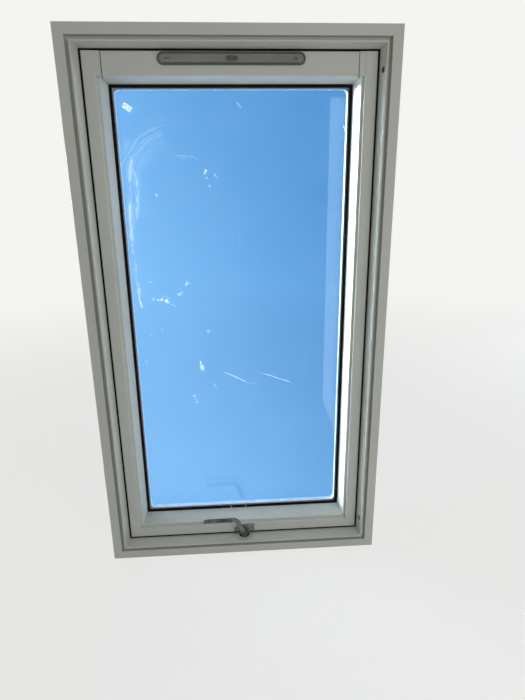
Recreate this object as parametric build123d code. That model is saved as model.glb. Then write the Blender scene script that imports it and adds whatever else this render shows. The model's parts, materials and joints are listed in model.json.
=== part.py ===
from build123d import *
import math
import os

# A centre-pivot roof window with its fixed frame, in millimetres.
# Everything is drawn with the window lying flat: X across, Y up the slope, Z into the room, and the
# room face of the closed sash on Z = 0. stand_up() then sets each piece upright on its sill.

# Overall size of the fixed frame
OUTER_WIDTH = 780.0
OUTER_HEIGHT = 1400.0

# Fixed frame profile, measured inwards from the frame's outer edge
FRAME_MEMBER = 43.5
FRAME_ROOM = 33.0
FRAME_DEPTH = 75.0
FLARE = 6.75
LIP = 3.5
GROOVE_WIDTH = 9.0
GROOVE_DEPTH = 14.0
FRAME_WALL = 3.5
FRAME_STEEL_WIDTH = 20.0
FRAME_STEEL_START = 5.0
FRAME_STEEL_Z = -24.0
FRAME_STEEL_BACK = 9.0
INNER_CHAMBER = 9.0
EDGE_SOFTENING = 1.2

# Gap round the sash, and the seal in it
GAP = 4.5
SEAL_CLEARANCE = 1.25
SEAL_TOP = -6.0
SEAL_HEIGHT = 8.0
SEAL_ROOT = 4.0

# Sash profile, measured inwards from the sash's outer edge
SASH_FACE = 29.0
SASH_ROUNDING = 3.0
STEP = 9.5
LEDGE_END = 35.8
LEDGE_FALL = 0.5
REVEAL_END = 43.75
REVEAL_DEPTH = 62.0
REBATE = 36.75
SASH_WALL = 3.25
SASH_STEEL_ROOM = (20.0, 28.0)
SASH_STEEL_START = 6.0
SASH_STEEL_Z = -22.0
STILE_LAP = 2.0

# Top rail: the wide beam between the stiles
TOP_FACE = 51.45
TOP_EXTRA = 15.0
SEAM_GAP = 1.2
HEAD_DROP = 1.2
TOP_CHAMBER_WALL = 4.0

# Steel tubes in the chambers
STEEL_WALL = 1.5
STEEL_PLAY = 0.3
STEEL_SETBACK = 62.0
CASE_GAP = 2.0
BOLT_STEEL_GAP = 22.0

# Glazing
PANE = 4.0
CAVITY = 16.0
EDGE_CLEARANCE = 3.0
GASKET = 3.0
GASKET_SIGHT = 7.5
OUTER_GASKET = 2.5
SPACER_SIGHT = 3.0
SPACER_WIDTH = 7.0
SPACER_WALL = 0.6
SPACER_CORNER = 12.0
BLOCK_LENGTH = 80.0
BLOCK_INSET = 70.0

# Outside covers
SHEET = 1.5
COVER_PLAY = 0.3
COVER_REBATE = 2.0
FRAME_FOLD = 12.5
SASH_FOLD = 22.0
SASH_COVER_LAP = 10.0
HOOD_RISE = 30.0
HOOD_CHAMFER = 12.0
COVER_JOINT = 1.0

# Pivot hinges at mid height
PIN_RADIUS = 6.0
PIN_PLAY = 0.05
PIN_REACH = 14.0
BUSH_WALL = 3.0
HINGE_LENGTH = 100.0
HINGE_WIDTH = 30.0
HOUSING_DEPTH = 14.0
ARM_PLATE = 3.0
PIN_BOSS = 9.0
BOSS_RUNNING = 0.8
HINGE_SCREWS = (22.0, 40.0)
SEAT_PLAY = 0.2

# Screws
SCREW_RADIUS = 2.0
SCREW_HEAD = 3.8
HEAD_HEIGHT = 1.8
SCREW_PLAY = 0.1
HEAD_ROOM = 3.0
HOUSING_SCREW_LENGTH = 16.0
ARM_SCREW_LENGTH = 12.0
PLATE_SCREW_LENGTH = 16.0
BRACKET_SCREW_LENGTH = 8.0

# Handle, centred on the bottom rail
HANDLE_RISE = 15.0
PLATE_WIDTH = 61.0
PLATE_HEIGHT = 26.0
PLATE_THICKNESS = 4.0
PLATE_CORNER = 3.0
PLATE_SCREW_X = 21.5
PLATE_SCREW_DROP = 4.5
HUB_RADIUS = 11.0
HUB_TOP = 36.0
HUB_LIFT = 0.3
LEVER_THICKNESS = 9.0
LEVER_WIDTH = 12.5
ELBOW = (-23.0, 51.0)
LEVER_END = -121.5
LEVER_TIP_RISE = 49.5
ELBOW_RADIUS = 13.0
TIP_ROUNDING = 3.0
NECK_SHARE = 0.6
SPINDLE_RADIUS = 5.0
SPINDLE_PLAY = 0.05
CASE_WIDTH = 48.0
CASE_WALL = 1.5
CAM_THICKNESS = 8.0
CAM_WIDTH = 9.0
CAM_SETBACK = 0.6
CAM_SLOT = 36.0
CAM_ROOM = 1.0
CAM_HUB_WALL = 2.0
SPINDLE_ROOM = 1.0

# Keeper on the sill's flared face
KEEPER_RADIUS = 29.0
KEEPER_THICKNESS = 2.5
KEEPER_POCKET = 1.0
KEEPER_START = 3.0
KEEPER_SCREW_X = 22.0
KEEPER_SCREW_UP = 6.0
KEEPER_SCREW_LENGTH = 9.0
CATCH_RADIUS = 16.0
CATCH_WIDTH = 6.0
CATCH_DEPTH = 1.7
CATCH_PAD = 1.0

# Cleaning bolt in the right stile, and its holes in the jamb
BOLT_RADIUS = 5.5
BOLT_PLAY = 0.05
BOLT_LENGTH = 22.0
BOLT_TRAVEL = 12.0
BOLT_SETBACK = 0.3
BOLT_Z = -21.5
GUIDE_WALL = 2.0
BOLT_HOLE_RADIUS = 6.2
BOLT_HOLE_Z = 17.0
BOLT_HOLE_INSET = 90.0
BOLT_HOLE_END = 1.8
BOLT_END_PLAY = 0.7

# Vent in the top rail
VENT_LENGTH = 342.0
VENT_HEIGHT = 28.0
VENT_TOP_MARGIN = 2.0
BEZEL_RIM = 4.0
BEZEL_PROUD = 4.0
PANEL_GAP = 1.5
PANEL_THICKNESS = 1.6
PANEL_PROUD = 3.2
DUCT_END = 15.0
DUCT_HEIGHT = 18.0
DUCT_WALL = 1.5
DUCT_PLAY = 0.2
DUCT_FLOOR_Z = -12.0
SHUTTER_THICKNESS = 2.0
SHUTTER_PLAY = 0.4
SHUTTER_TRAVEL = 7.0
SHUTTER_END = 1.0
SLOT_MARGIN = 1.5
VENT_SLOT = 6.4
VENT_PITCH = 14.0
GRIP_LENGTH = 25.7
GRIP_HEIGHT = 9.4
GRIP_PROUD = 2.2
GRIP_LIFT = 0.4
GRIP_CORNER = 1.0
GRIP_RIBS = 6
STEM_LENGTH = 8.0
STEM_WIDTH = 4.0
POST_WIDTH = 6.0
FILTER_THICKNESS = 12.0
FILTER_SETBACK = 24.0
GRILLE_THICKNESS = 2.0
GRILLE_BARS = 25

# Fixing brackets on the jambs
BRACKET_REACH = 26.0
BRACKET_LEG = 34.0
BRACKET_LENGTH = 70.0
BRACKET_SHEET = 2.5
BRACKET_FROM_BACK = 15.0
BRACKET_INSET = 220.0
BRACKET_HOLE_RADIUS = 3.3
BRACKET_HOLE_OUT = 15.0
BRACKET_SCREW_PITCH = 40.0

# How far a cutting shape stands past what it cuts
CUT = 1.0

# Worked out from the sizes above
OUT_X = OUTER_WIDTH / 2
OUT_Y = OUTER_HEIGHT / 2
OPEN_X = OUT_X - FRAME_MEMBER
OPEN_Y = OUT_Y - FRAME_MEMBER
FRAME_STEEL_ROOM = (FRAME_STEEL_WIDTH, FRAME_DEPTH + FRAME_STEEL_Z - FRAME_STEEL_BACK)
SASH_X = OPEN_X - GAP
SASH_Y = OPEN_Y - GAP
GLASS_EDGE = REBATE + EDGE_CLEARANCE
GLASS_Z = -REVEAL_DEPTH - GASKET
GLASS_BACK = GLASS_Z - 2 * PANE - CAVITY
SASH_BACK = GLASS_BACK - OUTER_GASKET
SASH_DEPTH = SHEET - SASH_BACK
PIVOT_Z = -SASH_DEPTH / 2
SIGHT = REVEAL_END + GASKET_SIGHT
SPACER_IN = SIGHT + SPACER_SIGHT
SPACER_OUT = SPACER_IN - SPACER_WIDTH
SEAM_X = SASH_X - REVEAL_END
HANDLE_Y = -SASH_Y + HANDLE_RISE
VENT_Y = SASH_Y - VENT_TOP_MARGIN - VENT_HEIGHT / 2
DUCT_LENGTH = VENT_LENGTH - 2 * DUCT_END
SHUTTER_ROOM = DUCT_LENGTH - 2 * (DUCT_WALL + POST_WIDTH + SHUTTER_TRAVEL + SHUTTER_END)
VENT_SLOTS = int(SHUTTER_ROOM / VENT_PITCH)
TOP_CHAMBER_START = SASH_Y - VENT_Y + DUCT_HEIGHT / 2 + DUCT_WALL + TOP_CHAMBER_WALL
HOOD_Z = -FRAME_DEPTH - HOOD_RISE
BOLT_HOLE_Y = OUT_Y - BOLT_HOLE_INSET
BOLT_HOLE_DEPTH = BOLT_TRAVEL - BOLT_SETBACK - GAP + BOLT_HOLE_END
BOLT_REACH = math.hypot(BOLT_HOLE_Y, BOLT_HOLE_Z - PIVOT_Z)
BOLT_Y = math.sqrt(BOLT_REACH**2 - (BOLT_Z - PIVOT_Z) ** 2)
LEVER_Z = HUB_TOP - LEVER_THICKNESS
BRACKET_Y = OUT_Y - BRACKET_INSET
BRACKET_Z = -FRAME_DEPTH + BRACKET_FROM_BACK
ORIGIN_DEPTH = (HUB_TOP + HOOD_Z) / 2

BOTTOM, RIGHT, TOP, LEFT = 0, 90, 180, 270
parts = {}


def stand_up(shape):
    """Sets a piece drawn lying flat upright on the sill, centred in the depth."""
    return Pos(0, ORIGIN_DEPTH, OUT_Y) * Rot(90, 0, 0) * shape


def slab(low, high):
    """A block between two opposite corners."""
    size = [b - a for a, b in zip(low, high)]
    middle = [(a + b) / 2 for a, b in zip(low, high)]
    return Pos(*middle) * Box(*size)


def rod(start, direction, length, radius):
    """A round bar from a point along a direction."""
    return extrude(Plane(origin=start, z_dir=direction) * Circle(radius), amount=length)


def outline(points):
    """A closed face through (x, y, corner radius) points."""
    path = FilletPolyline(
        *[(x, y) for x, y, _ in points], radius=[r for _, _, r in points], close=True
    )
    return make_face(path)


def rectangle(x0, x1, y0, y1):
    """A face between two corners."""
    return Pos((x0 + x1) / 2, (y0 + y1) / 2) * Rectangle(x1 - x0, y1 - y0)


def along(section, start, end, distance):
    """A bottom member: the section's x runs inwards from the edge, its y is Z, its length is X."""
    plane = Plane(origin=(start, -distance, 0), x_dir=(0, 1, 0), z_dir=(1, 0, 0))
    return extrude(plane * section, amount=end - start)


def member(section, side, half_length, distance, mitre, ends=(True, True)):
    """A member of a ring, cut at 45 degrees down to the mitre depth at the ends that ask for it."""
    bar = along(section, -half_length, half_length, distance)
    left = mitre if ends[0] else 0
    right = mitre if ends[1] else 0
    far = 2 * OUTER_WIDTH
    keep = Polyline(
        (-half_length, -distance),
        (half_length, -distance),
        (half_length - right, -distance + mitre),
        (half_length - right, -distance + far),
        (-half_length + left, -distance + far),
        (-half_length + left, -distance + mitre),
        close=True,
    )
    cutter = Pos(0, 0, -far / 2) * extrude(make_face(keep), amount=far)
    return Rot(0, 0, side) * (bar & cutter)


def frame_member(section, side):
    """One side of the fixed frame, mitred at both ends."""
    across = side in (BOTTOM, TOP)
    length, distance = (OUT_X, OUT_Y) if across else (OUT_Y, OUT_X)
    return member(section, side, length, distance, FRAME_MEMBER)


def steel_tube(section_low, section_size, start, end, side, distance):
    """A rectangular steel tube lying in a chamber with a little play."""
    wide, deep = section_size
    s, z = section_low
    full = rectangle(s + STEEL_PLAY, s + wide - STEEL_PLAY, z - deep + STEEL_PLAY, z - STEEL_PLAY)
    bore = rectangle(
        s + STEEL_PLAY + STEEL_WALL,
        s + wide - STEEL_PLAY - STEEL_WALL,
        z - deep + STEEL_PLAY + STEEL_WALL,
        z - STEEL_PLAY - STEEL_WALL,
    )
    return Rot(0, 0, side) * along(full - bore, start, end, distance)


def screw(head, direction, length):
    """A screw: its head's outer face centre, the way it points, and its whole length."""
    return rod(head, direction, HEAD_HEIGHT, SCREW_HEAD) + rod(head, direction, length, SCREW_RADIUS)


def screw_hole(head, direction, length):
    """The room a screw needs, open towards its head."""
    outward = tuple(a - HEAD_ROOM * b for a, b in zip(head, direction))
    sink = rod(outward, direction, HEAD_ROOM + HEAD_HEIGHT + SCREW_PLAY, SCREW_HEAD + SCREW_PLAY)
    return sink + rod(head, direction, length + SCREW_PLAY, SCREW_RADIUS + SCREW_PLAY)


def frame_section():
    """Hollow frame profile with the flared reveal, the lining groove and the seal's slot."""
    lip = FRAME_MEMBER - FLARE
    groove = lip - LIP - GROOVE_WIDTH
    section = outline(
        [
            (0, FRAME_ROOM, EDGE_SOFTENING),
            (groove, FRAME_ROOM, 0),
            (groove, FRAME_ROOM - GROOVE_DEPTH, 0),
            (groove + GROOVE_WIDTH, FRAME_ROOM - GROOVE_DEPTH, 0),
            (groove + GROOVE_WIDTH, FRAME_ROOM, 0),
            (lip, FRAME_ROOM, EDGE_SOFTENING),
            (FRAME_MEMBER, 0, EDGE_SOFTENING),
            (FRAME_MEMBER, -FRAME_DEPTH, 0),
            (COVER_REBATE, -FRAME_DEPTH, 0),
            (COVER_REBATE, -FRAME_DEPTH + FRAME_FOLD, 0),
            (0, -FRAME_DEPTH + FRAME_FOLD, 0),
        ]
    )
    wide, deep = FRAME_STEEL_ROOM
    room_low = FRAME_STEEL_Z + FRAME_WALL
    seal_low = SEAL_TOP - SEAL_HEIGHT
    inner_edge = FRAME_MEMBER - FRAME_WALL
    steel_room = rectangle(
        FRAME_STEEL_START, FRAME_STEEL_START + wide, FRAME_STEEL_Z - deep, FRAME_STEEL_Z
    )
    flange_room = rectangle(FRAME_WALL, groove - FRAME_WALL, room_low, FRAME_ROOM - FRAME_WALL)
    groove_room = rectangle(
        groove, groove + GROOVE_WIDTH - FRAME_WALL / 2, room_low,
        FRAME_ROOM - GROOVE_DEPTH - FRAME_WALL,
    )
    inner_room = rectangle(
        inner_edge - INNER_CHAMBER, inner_edge, -FRAME_DEPTH + FRAME_WALL, seal_low - FRAME_WALL
    )
    slot = rectangle(FRAME_MEMBER - SEAL_ROOT, FRAME_MEMBER + CUT, seal_low, SEAL_TOP)
    return section - steel_room - flange_room - groove_room - inner_room - slot


def sash_section():
    """Hollow sash profile: face, step, ledge, steep reveal and the rebate that holds the glass."""
    body = outline(
        [
            (0, 0, SASH_ROUNDING),
            (SASH_FACE, 0, EDGE_SOFTENING),
            (SASH_FACE, -STEP, 0),
            (LEDGE_END, -STEP - LEDGE_FALL, EDGE_SOFTENING),
            (REVEAL_END, -REVEAL_DEPTH, 0),
            (REBATE, -REVEAL_DEPTH, 0),
            (REBATE, SASH_BACK, 0),
            (COVER_REBATE, SASH_BACK, 0),
            (COVER_REBATE, -SASH_DEPTH + SASH_FOLD, 0),
            (0, -SASH_DEPTH + SASH_FOLD, 0),
        ]
    )
    wide, deep = SASH_STEEL_ROOM
    steel_low = SASH_STEEL_Z - deep
    steel_room = rectangle(SASH_STEEL_START, SASH_STEEL_START + wide, steel_low, SASH_STEEL_Z)
    glazing_room = rectangle(
        COVER_REBATE + SASH_WALL, REBATE - SASH_WALL, SASH_BACK + SASH_WALL, steel_low - SASH_WALL
    )
    face_room = rectangle(
        SASH_STEEL_START, SASH_FACE - SASH_WALL, SASH_STEEL_Z + SASH_WALL, -SASH_WALL
    )
    return body - steel_room - glazing_room - face_room


def top_section(drop, rounding):
    """Solid outline of the top rail, its face lowered by the drop."""
    return outline(
        [
            (0, -drop, rounding),
            (TOP_FACE, -drop, rounding),
            (REVEAL_END + TOP_EXTRA, -REVEAL_DEPTH, 0),
            (REBATE + TOP_EXTRA, -REVEAL_DEPTH, 0),
            (REBATE + TOP_EXTRA, SASH_BACK, 0),
            (COVER_REBATE, SASH_BACK, 0),
            (COVER_REBATE, -SASH_DEPTH + SASH_FOLD, 0),
            (0, -SASH_DEPTH + SASH_FOLD, 0),
        ]
    )


def ring(inset_out, inset_in, low, high, corner=0.0):
    """A rectangular ring on the sash between two insets, with the top rail's extra width."""

    def block(inset, radius, grow):
        x = SASH_X - inset
        bottom, top = -SASH_Y + inset, SASH_Y - inset - TOP_EXTRA
        face = outline([(-x, bottom, radius), (x, bottom, radius), (x, top, radius), (-x, top, radius)])
        return Pos(0, 0, low - grow) * extrude(face, amount=high - low + 2 * grow)

    return block(inset_out, 0, 0) - block(inset_in, corner, CUT)


def capsule(length, height, low, high, y):
    """A plate with round ends."""
    return Pos(0, y, low) * extrude(SlotOverall(length, height), amount=high - low)


def make_frame():
    """The four frame members with the pockets that the fittings need, and their steel tubes."""
    section = frame_section()
    names = {"frame_sill": BOTTOM, "frame_jamb_right": RIGHT, "frame_head": TOP, "frame_jamb_left": LEFT}
    for name, side in names.items():
        parts[name] = frame_member(section, side)
    corner = (FRAME_STEEL_START, FRAME_STEEL_Z)
    for name, side in (("frame_steel_sill", BOTTOM), ("frame_steel_head", TOP)):
        reach = OUT_X - STEEL_SETBACK
        parts[name] = steel_tube(corner, FRAME_STEEL_ROOM, -reach, reach, side, OUT_Y)
    for name, side in (("frame_steel_right", RIGHT), ("frame_steel_left", LEFT)):
        reach = OUT_Y - STEEL_SETBACK
        parts[name] = steel_tube(corner, FRAME_STEEL_ROOM, -reach, reach, side, OUT_X)
    for y, z in ((BOLT_HOLE_Y, BOLT_HOLE_Z), (-BOLT_HOLE_Y, BOLT_HOLE_Z), (BOLT_Y, BOLT_Z)):
        start = OPEN_X - CUT if z < 0 else OPEN_X
        hole = rod((start, y, z), (1, 0, 0), BOLT_HOLE_DEPTH + OPEN_X - start, BOLT_HOLE_RADIUS)
        parts["frame_jamb_right"] -= hole
    make_frame_seal()


def make_frame_seal():
    """The black seal in the gap: rooted in the frame's slot, just clear of the sash."""
    inner = (SASH_X + SEAL_CLEARANCE, SASH_Y + SEAL_CLEARANCE)
    outer = (OPEN_X + SEAL_ROOT, OPEN_Y + SEAL_ROOT)
    low, high = SEAL_TOP - SEAL_HEIGHT, SEAL_TOP
    band = slab((-outer[0], -outer[1], low), (outer[0], outer[1], high))
    parts["frame_seal"] = band - slab(
        (-inner[0], -inner[1], low - CUT), (inner[0], inner[1], high + CUT)
    )


def make_sash():
    """Stiles, rails and their steel tubes."""
    section = sash_section()
    mitre = max(REVEAL_END, SASH_FACE)
    parts["sash_bottom_rail"] = member(section, BOTTOM, SASH_X, SASH_Y, mitre)
    block = top_section(HEAD_DROP, 0)
    stile_head = Rot(0, 0, TOP) * along(block, -SASH_X + SASH_FACE - STILE_LAP, -SEAM_X, SASH_Y)
    parts["sash_stile_right"] = (
        member(section, RIGHT, SASH_Y, SASH_X, mitre, (True, False)) + stile_head
    )
    parts["sash_stile_left"] = (
        member(section, LEFT, SASH_Y, SASH_X, mitre, (False, True)) + mirror(stile_head, Plane.YZ)
    )
    fold_room = slab(
        (-OUT_X, SASH_Y - COVER_REBATE, -2 * SASH_DEPTH), (OUT_X, OUT_Y, -SASH_DEPTH + SASH_FOLD)
    )
    parts["sash_stile_right"] -= fold_room
    parts["sash_stile_left"] -= fold_room
    wide, deep = SASH_STEEL_ROOM
    chamber = rectangle(
        TOP_CHAMBER_START, TOP_CHAMBER_START + wide, SASH_STEEL_Z - deep, SASH_STEEL_Z
    )
    reach = SEAM_X - SEAM_GAP
    rail = along(top_section(0, SASH_ROUNDING) - chamber, -reach, reach, SASH_Y)
    parts["sash_top_rail"] = Rot(0, 0, TOP) * rail

    corner = (SASH_STEEL_START, SASH_STEEL_Z)
    reach = SASH_X - STEEL_SETBACK
    inner = CASE_WIDTH / 2 + CASE_GAP
    parts["sash_steel_bottom"] = Compound(
        [
            steel_tube(corner, SASH_STEEL_ROOM, -reach, -inner, BOTTOM, SASH_Y),
            steel_tube(corner, SASH_STEEL_ROOM, inner, reach, BOTTOM, SASH_Y),
        ]
    )
    top_end = BOLT_Y - BOLT_STEEL_GAP
    low_end = -SASH_Y + STEEL_SETBACK
    parts["sash_steel_right"] = steel_tube(corner, SASH_STEEL_ROOM, low_end, top_end, RIGHT, SASH_X)
    parts["sash_steel_left"] = steel_tube(corner, SASH_STEEL_ROOM, -top_end, -low_end, LEFT, SASH_X)
    top_corner = (TOP_CHAMBER_START, SASH_STEEL_Z)
    parts["sash_steel_top"] = steel_tube(top_corner, SASH_STEEL_ROOM, -reach, reach, TOP, SASH_Y)


def make_glazing():
    """Two panes, their spacer and edge seal, the gaskets on both sides and the setting blocks."""
    x = SASH_X - GLASS_EDGE
    bottom, top = -SASH_Y + GLASS_EDGE, SASH_Y - GLASS_EDGE - TOP_EXTRA
    parts["glass_inner"] = slab((-x, bottom, GLASS_Z - PANE), (x, top, GLASS_Z))
    parts["glass_outer"] = slab((-x, bottom, GLASS_BACK), (x, top, GLASS_BACK + PANE))
    low, high = GLASS_BACK + PANE, GLASS_Z - PANE
    hollow = ring(
        SPACER_OUT + SPACER_WALL, SPACER_IN - SPACER_WALL, low + SPACER_WALL, high - SPACER_WALL,
        SPACER_CORNER,
    )
    parts["spacer_bar"] = ring(SPACER_OUT, SPACER_IN, low, high, SPACER_CORNER) - hollow
    parts["edge_seal"] = ring(GLASS_EDGE, SPACER_OUT, low, high)
    parts["glazing_gasket_inner"] = ring(GLASS_EDGE, SIGHT, GLASS_Z, -REVEAL_DEPTH, EDGE_SOFTENING)
    parts["glazing_gasket_outer"] = ring(GLASS_EDGE, SIGHT, SASH_BACK, GLASS_BACK, EDGE_SOFTENING)
    blocks = []
    for side in (-1, 1):
        middle = side * (x - BLOCK_INSET - BLOCK_LENGTH / 2)
        blocks.append(
            slab(
                (middle - BLOCK_LENGTH / 2, bottom - EDGE_CLEARANCE, GLASS_BACK),
                (middle + BLOCK_LENGTH / 2, bottom, GLASS_Z),
            )
        )
        for middle in (bottom + BLOCK_INSET, top - BLOCK_INSET):
            inside, outside = side * x, side * (x + EDGE_CLEARANCE)
            blocks.append(
                slab(
                    (min(inside, outside), middle - BLOCK_LENGTH / 2, GLASS_BACK),
                    (max(inside, outside), middle + BLOCK_LENGTH / 2, GLASS_Z),
                )
            )
    parts["setting_blocks"] = Compound(blocks)


def folded_cover(reach, back, fold_end):
    """An angle of thin sheet: flat on the outside face, folded into the rebate at the edge."""
    return make_face(
        Polyline(
            (COVER_PLAY, fold_end),
            (COVER_PLAY + SHEET, fold_end),
            (COVER_PLAY + SHEET, back),
            (reach, back),
            (reach, back - SHEET),
            (COVER_PLAY, back - SHEET),
            close=True,
        )
    )


def make_frame_covers():
    """Covers on the sill and on each half of each jamb, and the hood over the head."""
    section = folded_cover(
        FRAME_MEMBER - COVER_PLAY, -FRAME_DEPTH, -FRAME_DEPTH + FRAME_FOLD - COVER_PLAY
    )
    parts["cover_sill"] = member(section, BOTTOM, OUT_X - COVER_PLAY, OUT_Y, FRAME_MEMBER)
    head_end = OPEN_Y - COVER_JOINT
    for name, side, sign in (("left", LEFT, -1), ("right", RIGHT, 1)):
        bar = member(section, side, OUT_Y - COVER_PLAY, OUT_X, FRAME_MEMBER)
        far = 2 * OUTER_WIDTH
        upper = slab((-far, COVER_JOINT / 2, -far), (far, head_end, far))
        lower = slab((-far, -far, -far), (far, -COVER_JOINT / 2, far))
        parts[f"cover_{name}_upper"] = bar & upper
        parts[f"cover_{name}_lower"] = bar & lower
    make_hood()


def make_hood():
    """A folded hood with closed ends, standing on the head's outside face."""
    out, back = COVER_PLAY, -FRAME_DEPTH
    reach = FRAME_MEMBER - COVER_PLAY
    fold_end = -FRAME_DEPTH + FRAME_FOLD - COVER_PLAY

    def skin(inset):
        return [
            (out + inset, fold_end),
            (out + inset, HOOD_Z + HOOD_CHAMFER),
            (out + HOOD_CHAMFER, HOOD_Z + inset),
            (reach - inset, HOOD_Z + inset),
            (reach - inset, back),
        ]

    solid = make_face(Polyline(*skin(0), (out + SHEET, back), (out + SHEET, fold_end), close=True))
    inner = make_face(Polyline(*skin(SHEET)[1:], (out + SHEET, back), close=True))
    half = OUT_X - COVER_PLAY
    shell = along(solid, -half, half, OUT_Y) - along(inner, -half + SHEET, half - SHEET, OUT_Y)
    parts["hood"] = Rot(0, 0, TOP) * shell


def make_sash_covers():
    """Four covers on the sash's outside face, lapping over the edge of the glass."""
    fold_end = -SASH_DEPTH + SASH_FOLD - COVER_PLAY
    lap = GLASS_EDGE + SASH_COVER_LAP
    side_section = folded_cover(lap, SASH_BACK, fold_end)
    top_cover = folded_cover(lap + TOP_EXTRA, SASH_BACK, fold_end)
    for name, side in (("left", LEFT), ("right", RIGHT)):
        parts[f"sash_cover_{name}"] = member(side_section, side, SASH_Y, SASH_X, lap)
    parts["sash_cover_bottom"] = member(side_section, BOTTOM, SASH_X, SASH_Y, lap)
    parts["sash_cover_top"] = member(top_cover, TOP, SASH_X, SASH_Y, lap)
    outlet = slab(
        (-DUCT_LENGTH / 2, VENT_Y - DUCT_HEIGHT / 2, -2 * SASH_DEPTH),
        (DUCT_LENGTH / 2, VENT_Y + DUCT_HEIGHT / 2, 0),
    )
    parts["sash_cover_top"] -= outlet


def make_hinges():
    """A housing with a bush in each jamb, and an arm with its pin on each stile."""
    half_length, half_width = HINGE_LENGTH / 2, HINGE_WIDTH / 2
    frame_screws, arm_screws, bushes = [], [], []
    for name, sign in (("left", -1), ("right", 1)):
        out = (sign, 0, 0)

        def block(near, far, grow):
            low, high = sorted((sign * near, sign * far))
            return slab(
                (low, -half_length - grow, PIVOT_Z - half_width - grow),
                (high, half_length + grow, PIVOT_Z + half_width + grow),
            )

        housing = block(OPEN_X, OPEN_X + HOUSING_DEPTH, 0)
        jamb = parts[f"frame_jamb_{name}"] - block(
            OPEN_X - CUT, OPEN_X + HOUSING_DEPTH, SEAT_PLAY
        )
        before = (sign * (OPEN_X - CUT), 0, PIVOT_Z)
        through = HOUSING_DEPTH + 2 * CUT
        housing -= rod(before, out, through, PIN_RADIUS + BUSH_WALL)
        bush = rod((sign * OPEN_X, 0, PIVOT_Z), out, HOUSING_DEPTH, PIN_RADIUS + BUSH_WALL - PIN_PLAY)
        bush -= rod(before, out, through, PIN_RADIUS + PIN_PLAY)
        bushes.append(bush)
        plate = block(SASH_X - ARM_PLATE, SASH_X, 0)
        boss = rod((sign * SASH_X, 0, PIVOT_Z), out, GAP - BOSS_RUNNING, PIN_BOSS)
        pin = rod((sign * SASH_X, 0, PIVOT_Z), out, PIN_REACH, PIN_RADIUS)
        arm = plate + boss + pin
        stile = parts[f"sash_stile_{name}"] - block(SASH_X - ARM_PLATE, SASH_X + CUT, SEAT_PLAY)
        steel_frame, steel_sash = parts[f"frame_steel_{name}"], parts[f"sash_steel_{name}"]
        inward = (-sign, 0, 0)
        for y in (*HINGE_SCREWS, *[-v for v in HINGE_SCREWS]):
            head = (sign * OPEN_X, y, PIVOT_Z)
            hole = screw_hole(head, out, HOUSING_SCREW_LENGTH)
            housing -= hole
            jamb -= hole
            steel_frame -= hole
            frame_screws.append(screw(head, out, HOUSING_SCREW_LENGTH))
            head = (sign * SASH_X, y, PIVOT_Z)
            hole = screw_hole(head, inward, ARM_SCREW_LENGTH)
            arm -= hole
            stile -= hole
            steel_sash -= hole
            arm_screws.append(screw(head, inward, ARM_SCREW_LENGTH))
        parts[f"hinge_housing_{name}"] = housing
        parts[f"hinge_arm_{name}"] = arm
        parts[f"frame_jamb_{name}"] = jamb
        parts[f"sash_stile_{name}"] = stile
        parts[f"frame_steel_{name}"] = steel_frame
        parts[f"sash_steel_{name}"] = steel_sash
    parts["hinge_bushes"] = Compound(bushes)
    parts["hinge_screws_frame"] = Compound(frame_screws)
    parts["hinge_screws_sash"] = Compound(arm_screws)


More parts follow.
